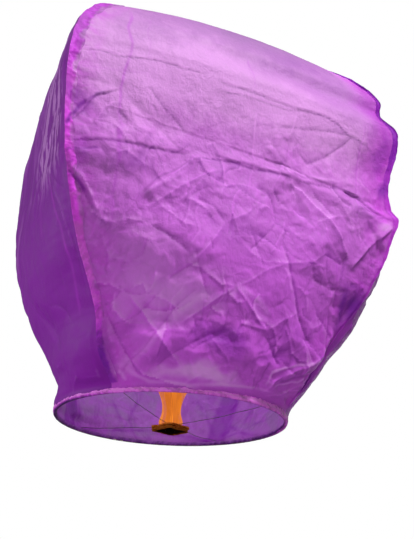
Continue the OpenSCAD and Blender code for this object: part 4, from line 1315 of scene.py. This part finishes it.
def fuel_sheet(i):
    """Sheet i of the pad, counted from 1 at the top: a rounded square with three holes."""
    rng = np.random.default_rng(900 + i)
    turn = math.radians(24 + 2 * math.sin(math.radians(113 * i)))
    size = PAD_HALF + 0.0009 * math.sin(math.radians(73 * i)) + (0.0012 if i in (2, 4) else 0)
    a = np.linspace(0, 2 * math.pi, 132, endpoint=False)
    r = np.minimum(size / np.maximum(np.abs(np.cos(a)), np.abs(np.sin(a))), size * 1.26)
    r = (r + 0.0008 * np.sin(3 * a + 1.7 * i) + 0.0006 * np.sin(7 * a + 2.3 * i)
         + rng.normal(0, 0.00035, len(a)) + 0.0004 * np.sin(23 * a + i))
    outline = np.stack([r * np.cos(a), r * np.sin(a)], -1)

    def inside_outline(points):
        """Angle round the sheet and distance in from its outline."""
        angle = np.arctan2(points[:, 1], points[:, 0]) % (2 * math.pi)
        limit = np.interp(angle, np.append(a, 2 * math.pi), np.append(r, r[0]))
        return angle, limit - np.hypot(*points.T)

    # the outline turns but the holes don't, so they are turned back here
    loops, holes = [outline], []
    for hole_x, radius, count in PAD_HOLES:
        k = np.linspace(0, 2 * math.pi, count, endpoint=False)
        loops.append(turned(np.stack([hole_x + radius * np.cos(k), radius * np.sin(k)], -1), -turn))
        holes.append((turned((hole_x, 0), -turn), radius))

    # jittered filling points
    steps = np.arange(-0.034, 0.0341, 0.0016)
    points = np.stack(np.meshgrid(steps, steps), -1).reshape(-1, 2)
    points = points + rng.uniform(-0.0004, 0.0004, points.shape)
    keep = inside_outline(points)[1] > 0.0009
    for centre, radius in holes:
        keep &= np.hypot(*(points - centre).T) > radius + 0.0006
    edges, first = [], 0
    for loop in loops:
        edges += [(first + j, first + (j + 1) % len(loop)) for j in range(len(loop))]
        first += len(loop)
    flat = [Vector((float(x), float(y))) for x, y in np.concatenate([*loops, points[keep]])]
    corners, _, triangles, _, _, _ = delaunay_2d_cdt(flat, edges, [], 0, 1e-9)
    corners = np.array([(v[0], v[1]) for v in corners])
    triangles = np.array([tuple(t) for t in triangles])

    # keep the triangles within the outline's polygon and outside the holes
    middles = corners[triangles].mean(1)
    x, y = middles.T
    inside = np.zeros(len(middles), bool)
    for (x1, y1), (x0, y0) in zip(outline, np.roll(outline, 1, axis=0)):
        crossing = (x0 - x1) * (y - y1) / (y0 - y1 + 1e-18) + x1
        inside ^= ((y1 > y) != (y0 > y)) & (x < crossing)
    for centre, radius in holes:
        inside &= np.hypot(*(middles - centre).T) > radius * 0.98
    triangles = triangles[inside]
    # wind them all to face up
    d1, d2 = (corners[triangles[:, k]] - corners[triangles[:, 0]] for k in (1, 2))
    d2 = corners[triangles[:, 2]] - corners[triangles[:, 0]]
    flip = d1[:, 0] * d2[:, 1] - d1[:, 1] * d2[:, 0] < 0
    triangles[flip] = triangles[flip][:, ::-1]

    angle, depth = inside_outline(corners)
    rim = np.clip(1 - depth / 0.011, 0, 1)
    x, y = corners.T
    wobble = 0.00022 * noise(x / 0.006 + i, y / 0.006, 910 + i)
    droop = (-0.0011 * rim**2 * (0.5 + 0.5 * noise(angle * 1.5, 0, 920)) * (0.6 + 0.1 * i))
    z = PAD_TOP - (i - 1) * (SHEET_THICK + SHEET_GAP) + wobble + droop
    thinner = 0.00012 * (1 + noise(x / 0.003, y / 0.003, 930 + i))
    flat = turned(corners, turn)
    verts = np.concatenate([np.column_stack([flat, z - 0.0001]),
                            np.column_stack([flat, z - SHEET_THICK + thinner])])
    count = len(corners)
    faces = triangles.tolist() + (triangles[:, ::-1] + count).tolist()
    sides = [(t[k], t[(k + 1) % 3]) for t in triangles.tolist() for k in range(3)]
    known = set(sides)
    faces += [(b, a, a + count, b + count) for a, b in sides if (b, a) not in known]
    used = sorted({v for face in faces for v in face})
    renumber = {v: k for k, v in enumerate(used)}
    faces = [[renumber[v] for v in face] for face in faces]
    add_piece("fuel_sheet_%d" % i, verts[used], faces, wax(i), "waxed_sheet", rides="fuel_cell",
              attributes={"rim": np.tile(rim, 2)[used]}, smooth=False)


for i in range(1, 6):
    fuel_sheet(i)

# ---- flame ------------------------------------------------------------------------------------------------------
FLAME_Z = -0.008
FLAME_TURN = -0.33     # radians about Z
FLAME_SHARES = [0, 0.05, 0.18, 0.34, 0.52, 0.72, 0.9, 1.0]     # of a tongue's height
FLAME_WIDTHS = [0.62, 0.86, 0.72, 0.80, 1.0, 0.72, 0.30, 0.02]     # share of its width there


def flame_material():
    tree = material_nodes("flame_glow")
    height = tree.attribute("up")
    facing = tree.add("LayerWeight", {"Blend": 0.5}, "Facing")
    streak = tree.noise(tree.place((1, 1, 0.16)), scale=120.0, detail=4, rough=0.6, twist=0.5)
    heat = (facing * 0.60 + (streak - 0.32) * 1.1).clamped()
    colour = tree.ramp(heat, [(0.0, 196, 92, 26), (0.35, 226, 122, 34), (0.62, 246, 146, 44),
                              (0.85, 255, 178, 74), (1.0, 255, 206, 120)])
    glow = tree.add("Emission", {"Color": colour,
                                 "Strength": tree.level(height, 0.0, 1.0, 1.02, 0.9)})
    clear = tree.add("BsdfTransparent")
    solid = tree.level(height, 0.50, 1.0, 1.0, 0.0) * tree.level(heat, 0.0, 0.7, 0.42, 0.95)
    return tree.finish(tree.mix_shader(solid, clear, glow))


M_FLAME = flame_material()


def tongue(name, base, height, width, flat, lean, back):
    """One tongue of flame: a flattened lobe whose middle leans one way and then back."""
    rows, segments = 72, 40
    t = np.linspace(0, 1, rows)[:, None]
    k = np.linspace(0, 2 * math.pi, segments, endpoint=False)
    r = width * curve_through(FLAME_SHARES, FLAME_WIDTHS, t) * (
        1 + 0.10 * np.sin(3 * k + 6 * t) + 0.06 * np.sin(5 * k - 11 * t))
    sway = (lean * np.sin(math.pi * np.clip(t / 0.62, 0, 1)) * 0.6
            + back * step01(t, 0.22, 0.9))
    x = base[0] + sway + r * np.cos(k)
    y = base[1] + 0.004 * np.sin(5 * t + base[0] * 300) * t + flat * r * np.sin(k)
    verts = turned(np.stack([x, y, FLAME_Z + height * t + 0 * k], -1), FLAME_TURN)
    ob = add_mesh(name, verts, capped_tube(rows, segments), M_FLAME, {"up": t + 0 * k})
    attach(ob, "fuel_cell")
    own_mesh(ob)


tongue("flame_tongue_left", base=(-0.0095, 0.002), height=0.125, width=0.0120, flat=0.50,
       lean=0.0060, back=-0.0165)
tongue("flame_tongue_right", base=(0.0105, -0.003), height=0.118, width=0.0112, flat=0.42,
       lean=-0.0060, back=0.0150)
tongue("flame_tongue_middle", base=(0.0010, 0.006), height=0.104, width=0.0140, flat=0.50,
       lean=0.0030, back=-0.0020)

# ---- camera -----------------------------------------------------------------------------------------------------
CAMERA_TURN = math.radians(-19.123)
CAMERA_RISE = math.radians(-13.233)      # it stands low and looks up
CAMERA_ROLL = math.radians(2.21)
CAMERA_DISTANCE = 2


def from_camera_side(place):
    """A place given with X to the camera's right and Y away from it, in the lantern's frame."""
    return Vector(turned(place, CAMERA_TURN))


def add_camera():
    eye = CAMERA_DISTANCE * np.array([0, -math.cos(CAMERA_RISE), math.sin(CAMERA_RISE)])
    forward = unit(np.array([0.05, 0, 0.268]) - eye)
    right = unit(np.cross(forward, [0, 0, 1]))
    up = np.cross(right, forward)
    c, s = math.cos(CAMERA_ROLL), math.sin(CAMERA_ROLL)
    camera = bpy.data.objects.new("camera", bpy.data.cameras.new("camera"))
    scene.collection.objects.link(camera)
    camera.data.lens = 80.89
    camera.data.sensor_width = 36
    camera.data.sensor_fit = "AUTO"
    camera.data.clip_end = 60
    columns = (c * right + s * up, -s * right + c * up, -forward, eye)
    pose = np.eye(4)
    pose[:3] = np.array([from_camera_side(column) for column in columns]).T
    camera.matrix_world = Matrix(pose.tolist())
    scene.camera = camera


add_camera()


# ---- lights and world -----------------------------------------------------------------------------------------
def area(name, at, aim, size, power, colour=(1, 1, 1)):
    """A round lamp, placed and aimed from the camera's side."""
    data = bpy.data.lights.new(name, "AREA")
    data.shape = "DISK"
    data.size = size
    data.energy = power
    data.color = colour
    ob = bpy.data.objects.new(name, data)
    scene.collection.objects.link(ob)
    place, target = from_camera_side(at), from_camera_side(aim)
    ob.location = place
    ob.rotation_euler = (target - place).to_track_quat("-Z", "Y").to_euler()
    return ob


area("key", at=(1.15, -1.30, 2.2), aim=(0, 0, 0.30), size=0.30, power=74, colour=(1.0, 0.985, 1.0))
area("side", at=(-2.6, 0.1, 0.35), aim=(0, 0, 0.3), size=1.6, power=26, colour=(0.98, 0.98, 1.0))
area("front", at=(-0.6, -2.6, -0.6), aim=(0, 0, 0.25), size=1.1, power=16)
area("back", at=(1.2, 2.4, 0.6), aim=(0, 0, 0.3), size=1.8, power=12)
inside = area("inside", at=(0, 0, 0.36), aim=(0, 0, 0), size=0.16, power=0.8)
inside.visible_camera = False


def studio():
    """A world that looks pure white but lights the lantern only faintly."""
    scene.world = bpy.data.worlds.new("studio")
    tree = Nodes(scene.world, "OutputWorld")
    lit, seen = (tree.add("Background", {0: (1, 1, 1, 1), 1: strength})
                 for strength in (0.17, 1.0))
    camera_ray = tree.add("LightPath", output="Is Camera Ray")
    tree.finish(tree.mix_shader(camera_ray, lit, seen))


studio()


def floor():
    """A pale sweep, seen only from above."""
    tree = material_nodes("floor_pale")
    paper = tree.add("BsdfPrincipled", {"Base Color": srgb(176, 176, 178), "Roughness": 0.9})
    # the camera sees it glow, but the glow throws no light on the lantern
    strength = tree.add("LightPath", output="Is Camera Ray") * 0.72
    glow = tree.add("Emission", {"Color": srgb(226, 226, 228), "Strength": strength})
    seen = tree.add("AddShader", {0: paper, 1: glow})
    below = tree.add("NewGeometry", output="Backfacing")
    material = tree.finish(tree.mix_shader(below, seen, tree.add("BsdfTransparent")))
    half, z = 14.0, -1.5
    verts = [(-half, -half, z), (half, -half, z), (half, half, z), (-half, half, z)]
    add_mesh("floor", verts, [(0, 1, 2, 3)], material, smooth=False)


floor()
scene.view_settings.view_transform = "Standard"
scene.view_settings.look = "None"
scene.view_settings.exposure = 0.0
scene.view_settings.gamma = 1.0
